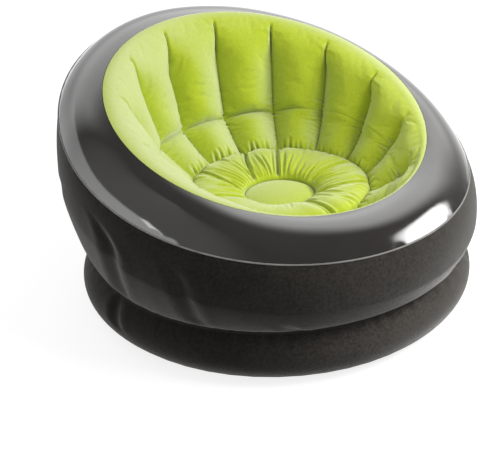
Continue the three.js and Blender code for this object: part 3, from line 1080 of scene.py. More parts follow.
@dataclass
class TubWall:
    """The flocked wall from the waist to the glossy ring.

    Attributes:
        half_width: Half the chair's width.
        half_depth: Half the chair's depth.
        foot_radius: The wall's radius at the waist.
        foot_height: The height of the waist.
        setback: How far the waist's middle lies in front of the chair's.
        flare_out: How far the wall flares out over the ring.
        flare_up: How far it rises on the way.
        hip: How early the lower wall turns upright, as a share.
        widest: Where the wall is widest, as a share of its height.
        lean: How much higher that is at the back, as a share.
        shoulder: How late the upper wall turns in, as a share.
        bead: The room that the bead takes at the top.
        weld_and_painted_shading: The height of the weld line at the waist, painted paler as a highlight, as a
            share.
        neck_hole: The radius of the hole that the valve's neck goes through.
        valve_calm: How far from the valve the folds start and are full.
        low_puckers: The small folds over the waist.
        high_puckers: The small folds under the bead.
        swell: The slow waves in between.
        painted_sheen_share: How strong the painted sheen is, as a share.
        columns: Steps round the wall.
        rows: Steps up each of its two curves.
        creases: The soft folds in the wall.
    """

    half_width: float = 0.559
    half_depth: float = 0.546
    foot_radius: float = 0.4939
    foot_height: float = 0.13605
    setback: float = 0.008
    flare_out: float = 0.030
    flare_up: float = 0.011
    hip: float = 0.12
    widest: float = 0.6
    lean: float = 0.22
    shoulder: float = 0.6
    bead: float = 0.0028
    weld_and_painted_shading: float = 0.035
    neck_hole: float = 0.0278
    valve_calm: tuple[float, float] = (0.045, 0.09)
    low_puckers: Ripple = Ripple(11, 88, 0.0009)
    high_puckers: Ripple = Ripple(12, 70, 0.0005)
    swell: Ripple = Ripple(13, 7, 0.0012)
    painted_sheen_share: float = 0.45
    columns: int = 420
    rows: int = 44
    creases: tuple[Crease, ...] = (
        Crease(((0.223, 0.80), (0.256, 0.60), (0.224, 0.08)), 0.026, 0.0100),
        Crease(((0.290, 0.82), (0.304, 0.55), (0.300, 0.10)), 0.021, 0.0070),
        Crease(((0.365, 0.30), (0.368, 0.18), (0.374, 0.02)), 0.018, 0.0050),
        Crease(((0.66, 0.45), (0.655, 0.25), (0.64, 0.04)), 0.020, 0.0060),
        Crease(((0.74, 0.75), (0.725, 0.40), (0.735, 0.05)), 0.024, 0.0085),
        Crease(((0.16, 0.6), (0.150, 0.35), (0.158, 0.05)), 0.022, 0.0065),
        Crease(((0.05, 0.7), (0.062, 0.4), (0.052, 0.05)), 0.024, 0.0070),
        Crease(((0.90, 0.6), (0.905, 0.35), (0.895, 0.05)), 0.023, 0.0070),
        Crease(((0.52, 0.35), (0.522, 0.2), (0.515, 0.03)), 0.020, 0.0055),
    )

    def _sections(self, angle: np.ndarray) -> np.ndarray:
        """Draws the wall's two curves.

        Args:
            angle: The angle of each column.

        Returns:
            The wall's points, from the waist up.
        """
        foot = level_loop(self.foot_radius, -self.setback, self.foot_height).at(angle)
        seam = LAYOUT.outer_seam.at(angle)
        share = self.widest + self.lean * np.sin(angle)
        height = foot[:, 2] + (seam[:, 2] - foot[:, 2]) * share
        across = self.half_width * np.cos(angle)
        along = self.half_depth * np.sin(angle)
        widest = np.stack([across, along, height], axis=-1)
        out = widest - foot
        out[:, 2] = 0
        flare = foot + unit(out) * self.flare_out
        flare[:, 2] += self.flare_up
        hip = widest.copy()
        hip[:, 2] += (foot[:, 2] - height) * self.hip
        shoulder = widest.copy()
        shoulder[:, 2] += (seam[:, 2] - height) * self.shoulder
        lower = bezier([foot, flare, hip, widest], np.linspace(0, 1, self.rows) ** 1.15)
        length = np.linalg.norm(seam - widest, axis=-1).mean()
        end = 1 - self.bead / length / 1.2
        upper = bezier([widest, shoulder, seam], np.linspace(0, end, self.rows))
        return np.concatenate([lower, upper[:, 1:]], axis=1)

    def build(self) -> None:
        """Builds the wall."""
        angle = LAYOUT.angles(self.columns)
        points = self._sections(angle)
        rise = np.linspace(0, 1, points.shape[1])
        offset = self.low_puckers.at(angle) * (1 - ease(rise, 0.0, 0.1))
        offset = offset + self.high_puckers.at(angle) * ease(rise, 0.9, 1.0)
        offset = offset + self.swell.at(angle) * np.sin(np.pi * rise)
        offset = offset + sum(crease.press(points) for crease in self.creases)
        from_valve = np.linalg.norm(points - np.array(VALVE_MIDDLE), axis=-1)
        points = pushed_out(points, offset * ease(from_valve, *self.valve_calm))
        # A weld line over the waist, painted paler as a highlight, and painted sheen where the wall faces the light
        weld_and_painted_shading = np.broadcast_to(1 - ease(rise, 0.0, self.weld_and_painted_shading), points.shape[:2])
        marks = {"weld_and_painted_shading": weld_and_painted_shading, "painted_sheen": self.painted_sheen_share * wall_painted_sheen_of(points)}
        wall = wrapped_grid("tub_wall_flocked", points, marks)
        thicken(wall)
        pierce(wall, VALVE_MIDDLE, VALVE_AXIS, self.neck_hole)
        smooth(wall)
        dress(wall, CHARCOAL_FLOCK, replaced=["upper_wall"])


@dataclass
class RimRing:
    """The glossy ring on top and the bead round its outer edge.

    Attributes:
        crown: How far the ring stands proud, as a share of its width.
        bead: The radius of the weld bead.
        gap: How far the ring's outer edge stays from the bead's middle.
        puckers: The small folds along the bead.
        pucker_end: Where they end, as a share of the ring's width.
        swell: The slow waves across the ring.
        columns: Steps round the ring.
        rows: Steps across it.
    """

    crown: float = 0.12
    bead: float = 0.002
    gap: float = 0.0022
    puckers: Ripple = Ripple(21, 60, 0.0003)
    pucker_end: float = 0.12
    swell: Ripple = Ripple(22, 9, 0.0008)
    columns: int = 420
    rows: int = 40

    def build(self) -> None:
        """Builds the ring and its bead."""
        angle = LAYOUT.angles(self.columns)
        outer = LAYOUT.outer_seam.at(angle)
        inner = LAYOUT.inner_seam.at(angle)
        width = np.linalg.norm(inner - outer, axis=-1)
        share = np.linspace(self.gap / width.mean(), 1, self.rows)
        points = arch(outer, inner, self.crown * width, angle, share)
        offset = self.puckers.at(angle) * (1 - ease(share, 0, self.pucker_end))
        points = pushed_out(points, offset + self.swell.at(angle) * np.sin(np.pi * share))
        ring = wrapped_grid("rim_ring_glossy", points)
        thicken(ring)
        smooth(ring)
        dress(ring, GLOSS_VINYL, replaced=["rim_ring_panel"])
        bead = bead_along("outer_rim_bead", LAYOUT.outer_seam, self.bead)
        dress(bead, WELD_FILM, replaced=["outer_rim_weld_seam"])


def bead_along(name: str, loop: Loop, radius: float, steps: int = 280) -> bpy.types.Object:
    """Makes a thin round bead along a loop.

    Args:
        name: The piece's name.
        loop: The loop that it follows.
        radius: The bead's radius.
        steps: Steps round the loop.

    Returns:
        The bead.
    """
    bead = primitive(
        bpy.ops.mesh.primitive_torus_add, name,
        major_radius=1, minor_radius=radius, major_segments=steps, minor_segments=10,
    )
    places = places_of(bead)
    angle = np.arctan2(places[:, 1], places[:, 0])
    outward = np.stack([np.cos(angle), np.sin(angle), np.zeros_like(angle)], axis=-1)
    reach = np.hypot(places[:, 0], places[:, 1]) - 1
    middle = loop.at(angle)
    middle += outward * reach[:, None]
    middle[:, 2] += places[:, 2]
    place_vertices(bead, middle)
    smooth(bead)
    return bead


@dataclass(frozen=True)
class Pucker:
    """A short pinched fold in a sheet, on a chart of real lengths round and down it.

    Attributes:
        around: Where its deep end lies round the sheet, in metres.
        down: Where its deep end lies down the sheet, in metres.
        heading: The way it runs, in radians from round towards down.
        length: Its length in metres.
        width: Its half width in metres.
        depth: Its depth in metres.
    """

    around: float
    down: float
    heading: float
    length: float
    width: float
    depth: float

    def press(self, around: np.ndarray, down: np.ndarray, period: float) -> np.ndarray:
        """Returns how far each point moves out.

        Args:
            around: Each point's place round the sheet.
            down: Each point's place down the sheet.
            period: The length round the sheet.

        Returns:
            The moves, negative in the valley and positive on its banks.
        """
        x = (around - self.around + period / 2) % period - period / 2
        y = down - self.down
        along = (x * math.cos(self.heading) + y * math.sin(self.heading)) / self.length
        across = (y * math.cos(self.heading) - x * math.sin(self.heading)) / self.width
        fade = np.clip(1 - along, 0, 1) * ease(along, -0.25, 0.1)
        return self.depth * fade * (0.45 * np.exp(-((np.abs(across) - 1.7) ** 2)) - np.exp(-(across**2)))


@dataclass(frozen=True)
class Pinch:
    """The sizes of a family of puckers.

    Attributes:
        length: How much longer the largest is than the smallest.
        least: The length of the smallest.
        width: Their half width.
        depth: The depth of the largest.
    """

    length: float
    least: float
    width: float
    depth: float

    def at(self, around: float, down: float, heading: float, size: float) -> Pucker:
        """Returns a pucker at a place, with its size from 0 to 1."""
        length = self.length * size + self.least
        return Pucker(around, down, heading, length, self.width, self.depth * size)


@dataclass(frozen=True)
class Chart:
    """A row of the bowl laid flat, with its mean lengths in metres.

    Attributes:
        around: Its length round the chair.
        down: Its length from top to foot.
        across: The width of one of its pillows.
    """

    around: float
    down: float
    across: float

    @property
    def pitch(self) -> float:
        """The length from one seam to the next."""
        return self.around / LAYOUT.channels

    def press(self, puckers: Sequence[Pucker], angle: np.ndarray, down: np.ndarray) -> np.ndarray:
        """Returns how far puckers move each point out, at each column's angle and row's place down."""
        around = (angle - angle[0])[:, None] / TURN * self.around
        return sum(pucker.press(around, down[None, :], self.around) for pucker in puckers)


def pillow_sheet(
    name: str,
    points: np.ndarray,
    marks: Mapping[str, np.ndarray],
    node: str,
    air: Air | None = None,
) -> bpy.types.Object:
    """Makes one padded sheet of the bowl.

    Args:
        name: The piece's name.
        points: Its points, as columns by rows by 3.
        marks: The values that it stores, each as columns by rows.
        node: The node that it stands for.
        air: The air that puffs it out, or None where its form has that already.

    Returns:
        The sheet.
    """
    liner = wrapped_grid(name, points, marks)
    if air:
        air.puff(liner)
    thicken(liner)
    smooth(liner, SOFT_EDGE)
    dress(liner, GREEN_FLOCK, replaced=[node])
    return liner


@dataclass
class Bowl:
    """The two rows of green pillows: tall channels under a smooth band, and short cushions.

    Attributes:
        lip: How steeply the smooth band rises from the glossy ring.
        lip_reach: How far it keeps each end's direction, as a share of its width.
        puff: How far a channel stands proud of its seams.
        cushion_puff: How far a cushion does.
        full_length: The length from which a row swells fully.
        draw: How far the seams are drawn in behind the straight line.
        top_full: How full the channels are at their top, as a share.
        rise: Where they reach their full size, as a share of their length.
        bite: Where the seams reach their full depth, as a share of their length.
        notch: How deep they are at the channels' top, as a share.
        dart: Where they start in the smooth band, as a share of its width.
        valley: How round the seams' valleys are at the channels' top, and how much rounder lower down.
        cushion_valley: How round they are between the cushions.
        turn: Where a channel starts to face the crease's own way, and where a cushion ends to, as shares.
        crease_full: How full both rows stay at the crease between them, in front and at the back.
        crease_sharp: Where that changes, as shares of the way to the back.
        groove: The depth of the crease's own groove.
        groove_width: Its half width.
        channels: The channels laid flat.
        cushions: The cushions laid flat.
        channel_pinch: The folds that run in from the channels' seams.
        cushion_pinch: The folds that run in from the cushions' seams.
        foot_pinch: The folds that run up from the cushions' feet.
        weld_width: The half width of the weld line in a seam, which is painted darker as the seam's shade.
        weld_start: Where the channels' weld lines start and are full, in metres down the channels.
        band_start: Where the band starts, as a share, clear of the glossy ring's edge.
        lip_held: How firmly the upper half of the band is held.
        air: The air behind the channels and cushions.
        columns: Steps across one channel.
        band_rows: Steps down the smooth band.
        channel_rows: Steps down a channel.
        cushion_rows: Steps down a cushion.
    """

    lip: float = 0.28
    lip_reach: float = 0.4
    puff: float = 0.050
    cushion_puff: float = 0.038
    full_length: float = 0.130
    draw: float = 0.008
    top_full: float = 0.40
    rise: float = 0.55
    bite: float = 0.06
    notch: float = 0.65
    dart: float = 0.55
    valley: tuple[float, float] = (0.12, 0.80)
    cushion_valley: float = 0.92
    turn: tuple[float, float] = (0.75, 0.35)
    crease_full: tuple[float, float] = (0.92, 0.60)
    crease_sharp: tuple[float, float] = (0.45, 0.85)
    groove: float = 0.010
    groove_width: float = 0.005
    channels: Chart = Chart(2.3, 0.256, 0.16)
    cushions: Chart = Chart(1.9, 0.14, 0.13)
    channel_pinch: Pinch = Pinch(0.038, 0.008, 0.0037, 0.0060)
    cushion_pinch: Pinch = Pinch(0.045, 0.008, 0.0036, 0.0068)
    foot_pinch: Pinch = Pinch(0.044, 0.0, 0.0046, 0.0105)
    weld_width: float = 0.002
    weld_start: tuple[float, float] = (0.004, 0.012)
    band_start: float = 0.02
    lip_held: float = 0.5
    air: Air = Air()
    columns: int = 34
    band_rows: int = 16
    channel_rows: int = 60
    cushion_rows: int = 44

    def build(self) -> None:
        """Builds the two rows of pillows."""
        self._build_backrest()
        self._build_cushions()

    def _angles(self) -> np.ndarray:
        """Returns the angle of each column."""
        return LAYOUT.angles(self.columns * LAYOUT.channels)

    def _across(self, angle: np.ndarray) -> np.ndarray:
        """Returns how full a channel is across its width, one value for each column."""
        return (1 - (2 * LAYOUT.in_channel(angle) - 1) ** 2)[:, None]

    def _seam_line(self, angle: np.ndarray, chart: Chart) -> np.ndarray:
        """Marks the weld lines along the seams, which are painted darker as the seams' shade.

        Args:
            angle: The angle of each column.
            chart: The row of pillows laid flat.

        Returns:
            How near each column is to a weld line, from 0 to 1.
        """
        share = LAYOUT.in_channel(angle)
        gap = (np.minimum(share, 1 - share) * chart.across)[:, None]
        return np.exp(-((gap / self.weld_width) ** 2))

    def _crease(self, angle: np.ndarray) -> tuple[np.ndarray, np.ndarray]:
        """Works out how the crease between the two rows changes round the chair.

        Args:
            angle: The angle of each column.

        Returns:
            How sharp the crease is, from 0 to 1, and how full both rows stay there.
        """
        sharp = ease(np.sin(angle), *self.crease_sharp)[:, None]
        front, back = self.crease_full
        return sharp, front + (back - front) * sharp

    def _groove(self, sharp: np.ndarray, from_crease: np.ndarray, angle: np.ndarray) -> np.ndarray:
        """Returns how deep the crease's groove is, at each row's distance from the crease."""
        depth = self.groove * sharp * np.exp(-((from_crease / self.groove_width) ** 2))
        return depth * self._across(angle) ** 0.5

    def _swell(self, puff: float, start: np.ndarray, end: np.ndarray) -> np.ndarray:
        """Returns how far a row swells in each column, which is less where it is short."""
        return (puff * ease(np.linalg.norm(end - start, axis=-1), 0, self.full_length))[:, None]

    def _directions(self, angle: np.ndarray) -> tuple[np.ndarray, np.ndarray, np.ndarray]:
        """Works out which way the pillows puff out.

        Args:
            angle: The angle of each column.

        Returns:
            The ways of the channels, of the crease that they share and of the cushions.
        """
        top, crease, edge = (
            loop.at(angle) for loop in (LAYOUT.channel_top, LAYOUT.crease, LAYOUT.seat_edge)
        )
        channel = show_side(top, crease, angle)
        cushion = show_side(crease, edge, angle)
        return channel, unit(channel + cushion), cushion

    def _band(self, angle: np.ndarray, side: np.ndarray, swell: np.ndarray) -> np.ndarray:
        """Returns the smooth band between the glossy ring and the channels.

        Args:
            angle: The angle of each column.
            side: Which way the channels puff out.
            swell: How far they swell.

        Returns:
            The band's points, as columns by rows by 3.
        """
        inner = LAYOUT.inner_seam.at(angle)
        top = LAYOUT.channel_top.at(angle)
        crease = LAYOUT.crease.at(angle)
        full = swell * self.top_full
        end = top + side * full
        climb = 2 * swell * (1 - self.top_full) / self.rise
        reach = self.lip_reach * np.linalg.norm(end - inner, axis=-1)[:, None]
        inward = unit((end - inner) * np.array([1, 1, 0]))
        rim = inner + (inward + np.array([0, 0, self.lip])) * reach
        shoulder = end - unit(crease - top + side * climb) * reach
        share = np.linspace(self.band_start, 1, self.band_rows)
        band = bezier([inner, rim, shoulder, end], share)
        depth = full * self.notch * (1 - self._across(angle) ** self.valley[0]) * ease(share, self.dart, 1.0)
        return band - side[:, None, :] * depth[..., None]

    def _build_backrest(self) -> None:
        """Builds the smooth band and the tall channels."""
        angle = self._angles()
        top = LAYOUT.channel_top.at(angle)
        crease = LAYOUT.crease.at(angle)
        side, shared, _ = self._directions(angle)
        swell = self._swell(self.puff, top, crease)
        sharp, crease_full = self._crease(angle)
        share = np.linspace(0, 1, self.channel_rows)
        rise = 1 - (1 - self.top_full) * np.maximum(1 - share / self.rise, 0) ** 2
        body = crease_full + (1 - crease_full) * (1 - share**10) ** 0.6
        sharpest, rounder = self.valley
        power = sharpest + rounder * ease(share, 0, 0.5)
        bitten = self.notch + (1 - self.notch) * ease(share, 0, self.bite)
        lift = rise * body * (1 - bitten + bitten * self._across(angle) ** power)
        turn = ease(share, self.turn[0], 1.0)[None, :, None]
        heading = unit(side[:, None, :] * (1 - turn) + shared[:, None, :] * turn)
        out = swell * lift - self._groove(sharp, (1 - share) * self.channels.down, angle)
        channel = arch(top, crease, -self.draw, angle, share) + heading * out[..., None]
        points = np.concatenate([self._band(angle, side, swell), channel[:, 1:]], axis=1)
        down = np.concatenate([np.zeros(self.band_rows), share[1:]]) * self.channels.down
        fade = 1 - ease(down, 0.250, self.channels.down)
        points = pushed_out(points, self.channels.press(self._channel_puckers(), angle, down) * fade)
        # Weld lines along the seams, darker as painted shade, and painted shade in the crease where it is sharp
        weld_and_painted_shading = self._seam_line(angle, self.channels) * ease(down, *self.weld_start)
        weld_and_painted_shading = np.maximum(weld_and_painted_shading, sharp * ease(down, 0.251, self.channels.down))
        held = self._held(points, down > 0)
        lip = held[:, : self.band_rows // 2]
        lip[:] = np.maximum(lip, self.lip_held)
        # Painted sheen where the channels face the light
        marks = {"weld_and_painted_shading": weld_and_painted_shading, "painted_sheen": painted_sheen_of(points), "held": held}
        liner = pillow_sheet("backrest_channels", points, marks, "backrest_liner", self.air)

    def _held(self, points: np.ndarray, sewn: np.ndarray) -> np.ndarray:
        """Returns where a row of pillows is held: along its seams and at its first and last rows.

        Args:
            points: The row's points.
            sewn: Which rows the seams reach.

        Returns:
            1 where a point is held and 0 elsewhere.
        """
        held = np.zeros(points.shape[:2])
        held[:: self.columns] = sewn
        held[:, [0, -1]] = 1
        return held

    def _channel_puckers(self) -> list[Pucker]:
        """Draws the short folds that run away from the seams low down on the channels.

        Returns:
            The folds.
        """
        draw = np.random.default_rng(61)
        foot = self.channels.down
        puckers = []
        for seam in range(LAYOUT.channels):
            for way in (0.0, math.pi):
                place = foot - draw.uniform(0.002, 0.012)
                for _ in range(draw.integers(2, 7)):
                    heading = way + draw.normal(0, 0.3)
                    size = draw.uniform(0.4, 1.0) * math.exp((place - foot) / 0.09)
                    puckers.append(self.channel_pinch.at(seam * self.channels.pitch, place, heading, size))
                    place -= draw.uniform(0.009, 0.022)
        return puckers

    def _build_cushions(self) -> None:
        """Builds the row of short cushions."""
        angle = self._angles()
        crease = LAYOUT.crease.at(angle)
        edge = LAYOUT.seat_edge.at(angle)
        _, shared, side = self._directions(angle)
        share = np.linspace(0, 1, self.cushion_rows)
        swell = self._swell(self.cushion_puff, crease, edge)
        sharp, crease_full = self._crease(angle)
        start = crease_full * self._swell(self.puff, LAYOUT.channel_top.at(angle), crease) / swell
        lift = start + (1 - start) * ease(share, 0, 0.3)
        lift = lift * np.maximum(1 - share**5, 0) ** 0.55 * self._across(angle) ** self.cushion_valley
        turn = (1 - ease(share, 0.0, self.turn[1]))[None, :, None]
        heading = unit(side[:, None, :] * (1 - turn) + shared[:, None, :] * turn)
        down = share * self.cushions.down
        out = swell * lift - self._groove(sharp, down, angle)
        points = arch(crease, edge, -self.draw, angle, share) + heading * out[..., None]
        fade = ease(down, 0.0, 0.006) * (1 - 0.85 * ease(down, 0.130, 0.139))
        points = pushed_out(points, self.cushions.press(self._cushion_puckers(), angle, down) * fade)
        # Weld lines along the seams and at the foot, darker as painted shade, and painted shade in the crease where
        # it is sharp
        weld_and_painted_shading = np.maximum(self._seam_line(angle, self.cushions), ease(share, 0.975, 1.0))
        weld_and_painted_shading = np.maximum(weld_and_painted_shading, sharp * (1 - ease(down, 0.0, 0.005)))
        # Painted sheen where the cushions face the light
        marks = {"weld_and_painted_shading": weld_and_painted_shading, "painted_sheen": painted_sheen_of(points), "held": self._held(points, down >= 0)}
        liner = pillow_sheet("seat_side_cushions", points, marks, "lower_liner", self.air)

    def _cushion_puckers(self) -> list[Pucker]:
        """Draws the folds that run in from the cushions' seams, and up from their feet.

        Returns:
            The folds.
        """
        draw = np.random.default_rng(67)
        pitch = self.cushions.pitch
        puckers = []
        for seam in range(LAYOUT.channels):
            for way in (0.0, math.pi):
                place = draw.uniform(0.004, 0.012)
                while place < 0.095:
                    tilt = draw.normal(0, 0.25) - (0.35 if way else -0.35)
                    size = draw.uniform(0.4, 1.0) * math.exp(-place / 0.075)
                    puckers.append(self.cushion_pinch.at(seam * pitch, place, way + tilt, size))
                    place += draw.uniform(0.008, 0.016)
            spot = seam * pitch + draw.uniform(0.0, 0.02)
            while spot < (seam + 1) * pitch - 0.004:
                size = draw.uniform(0.45, 1.0)
                heading = -math.pi / 2 + draw.normal(0, 0.14)
                puckers.append(self.foot_pinch.at(spot, self.cushions.down - 0.002, heading, size))
                spot += draw.uniform(0.016, 0.036)
        return puckers


@dataclass
class Seat:
    """The seat: a ring of pleats and a smooth disc.

    Attributes:
        puff: How far the ring stands proud of its seams.
        folds: Its deep folds: each one's angle at the disc, its start and its slant.
        fold: The half width and the depth of a deep fold's bottom and of its flanks.
        pleat: The half width and the largest depth of the fine pleats.
        edge_pinch: The short folds at the ring's outer edge.
        length: The length of a pleat that crosses the whole ring.
        pleat_end: Where the pleats end, as a share.
        dome: How far the disc stands proud.
        disc_painted_sheen: The painted sheen in its middle, and how much less at its edge.
        disc_gap: The gap between the disc and its seam.
        columns: Steps round the ring.
        rows: Steps across it.
        steps: Steps round the disc.
        circles: Steps from its edge to its middle.
    """

    puff: float = 0.032
    folds: tuple[tuple[float, float, float], ...] = (
        (6.13, 0.0, -0.33),
        (5.43, 0.0, -0.02),
        (0.66, 0.0, -0.35),
        (4.40, 0.2, -0.05),
        (2.77, 0.0, 0.06),
        (3.52, 0.1, 0.22),
        (1.22, 0.25, -0.10),
    )
    fold: tuple[tuple[float, float], ...] = ((0.0048, 0.0090), (0.0200, 0.0060))
    pleat: tuple[float, float] = (0.0038, 0.0046)
    edge_pinch: Pinch = Pinch(0.05, 0.0, 0.005, 0.0035)
    length: float = 0.150
    pleat_end: float = 0.98
    dome: float = 0.014
    disc_painted_sheen: tuple[float, float] = (0.27, 0.22)
    disc_gap: float = 0.001
    columns: int = 840
    rows: int = 52
    steps: int = 96
    circles: int = 14

    def build(self) -> None:
        """Builds the pleated ring and the smooth disc."""
        angle = LAYOUT.angles(self.columns)
        edge = LAYOUT.seat_edge.at(angle)
        disc = LAYOUT.disc_edge.at(angle)
        share = np.linspace(0, 1, self.rows)
        skewed = share**0.8
        lift = (4 * skewed * (1 - skewed)) ** 0.5
        out = show_side(edge, disc, angle)[:, None, :] * self.puff
        points = arch(edge, disc, 0.0, angle, share) + out * lift[None, :, None]
        radius = np.linalg.norm(points[..., :2] - disc.mean(0)[:2], axis=-1)
        place = np.broadcast_to(angle[:, None] - angle[0], radius.shape)
        points = pushed_out(points, sum(self._press(pleat, place, radius, share) for pleat in self._pleats()))
        # Weld lines at both edges, darker as painted shade in the seams
        weld_and_painted_shading = np.broadcast_to(np.maximum(1 - ease(share, 0, 0.02), ease(share, 0.98, 1)), points.shape[:2])
        # Painted sheen where the ring faces the light
        marks = {"weld_and_painted_shading": weld_and_painted_shading, "painted_sheen": painted_sheen_of(points, SEAT_LIT_WAY)}
        ring = pillow_sheet("seat_ring_pleated", points, marks, "seat_ring_panel")
        self._disc()

    def _press(self, pleat: Pucker, place: np.ndarray, radius: np.ndarray, share: np.ndarray) -> np.ndarray:
        """Returns how far a pleat moves each point of the ring out.

        Args:
            pleat: The pleat, whose place round the ring is an angle and whose start is a share.
            place: Each point's angle from the first seam.
            radius: Its distance from the disc's middle.
            share: Each row's place across the ring.

        Returns:
            The moves.
        """
        gap = (place - pleat.around + math.pi) % TURN - math.pi
        near = np.abs((gap - pleat.heading * (1 - share)) * radius / pleat.width)
        low, high = pleat.down, pleat.down + pleat.length / self.length
        fade = ease(share, low - 0.15, low + 0.1) * (1 - ease(share, high - 0.1, high + 0.02))
        return pleat.depth * fade * (0.4 * np.exp(-((near - 1.8) ** 2)) - np.exp(-(near**2)))

    def _pleats(self) -> list[Pucker]:
        """Draws the ring's folds and pleats.

        Returns:
            The pleats. Their places round the ring are angles from the first seam.
        """
        draw = np.random.default_rng(71)
        pleats = []
        for place, start, heading in self.folds:
            length = (self.pleat_end - start) * self.length
            pleats += [Pucker(place, start, heading, length, *sizes) for sizes in self.fold]
        width, depth = self.pleat
        place = 0.0
        while place < TURN:
            size = draw.uniform(0.35, 1.0) * (1 - 0.75 * math.exp(-(((place - 1.9) / 0.7) ** 2)))
            start = draw.uniform(0.30, 0.75)
            length = (self.pleat_end - start) * self.length
            pleats.append(Pucker(place, start, draw.normal(0, 0.06), length, width, depth * size))
            place += draw.uniform(0.07, 0.20)
        place = 0.0
        while place < TURN:
            size = draw.uniform(0.3, 1.0)
            pleats.append(self.edge_pinch.at(place, 0.03, draw.normal(0, 0.1), size))
            place += draw.uniform(0.1, 0.4)
        return pleats

    def _disc(self) -> None:
        """Builds the disc in the middle of the seat."""
        radius = LAYOUT.disc_edge.half_width - self.disc_gap
        disc = primitive(
            bpy.ops.mesh.primitive_circle_add, "seat_disc", vertices=self.steps, radius=radius, fill_type="NGON"
        )
        with editing(disc):
            for _ in range(self.circles):
                bpy.ops.mesh.inset(thickness=radius / (self.circles + 1))
            bpy.ops.mesh.poke()
        places = places_of(disc)
        reach = np.hypot(places[:, 0], places[:, 1]) / radius
        places[:, 2] = LAYOUT.disc_edge.back + self.dome * (1 - reach**2.4)
        places[:, 1] += LAYOUT.disc_edge.shift
        place_vertices(disc, places)
        # A weld line at the edge, darker as painted shade in the seam
        mark(disc, "weld_and_painted_shading", ease(reach, 0.98, 1.0))
        # Painted sheen, paler in the middle and less towards the edge
        middle_sheen, less = self.disc_painted_sheen
        mark(disc, "painted_sheen", middle_sheen - less * reach)
        thicken(disc)
        smooth(disc, SOFT_EDGE)
        dress(disc, GREEN_FLOCK, replaced=["seat_centre_panel"])


@dataclass
class InnerSheets:
    """The sheets that hold the chair's shape from inside, and the base.

    Attributes:
        names: The nodes of the single sheets.
        webs: The number of webs behind the channels' seams.
    """

    names: tuple[str, ...] = ("base_panel", "base_weld_seam", "waist_diaphragm", "seat_outer_tie", "seat_inner_tie")
    webs: int = LAYOUT.channels

    def build(self) -> None:
        """Gives the sheets their film."""
        for name in (*self.names, *(f"channel_web_{k:02d}" for k in range(1, self.webs + 1))):
            dress_node(name, INNER_FILM)


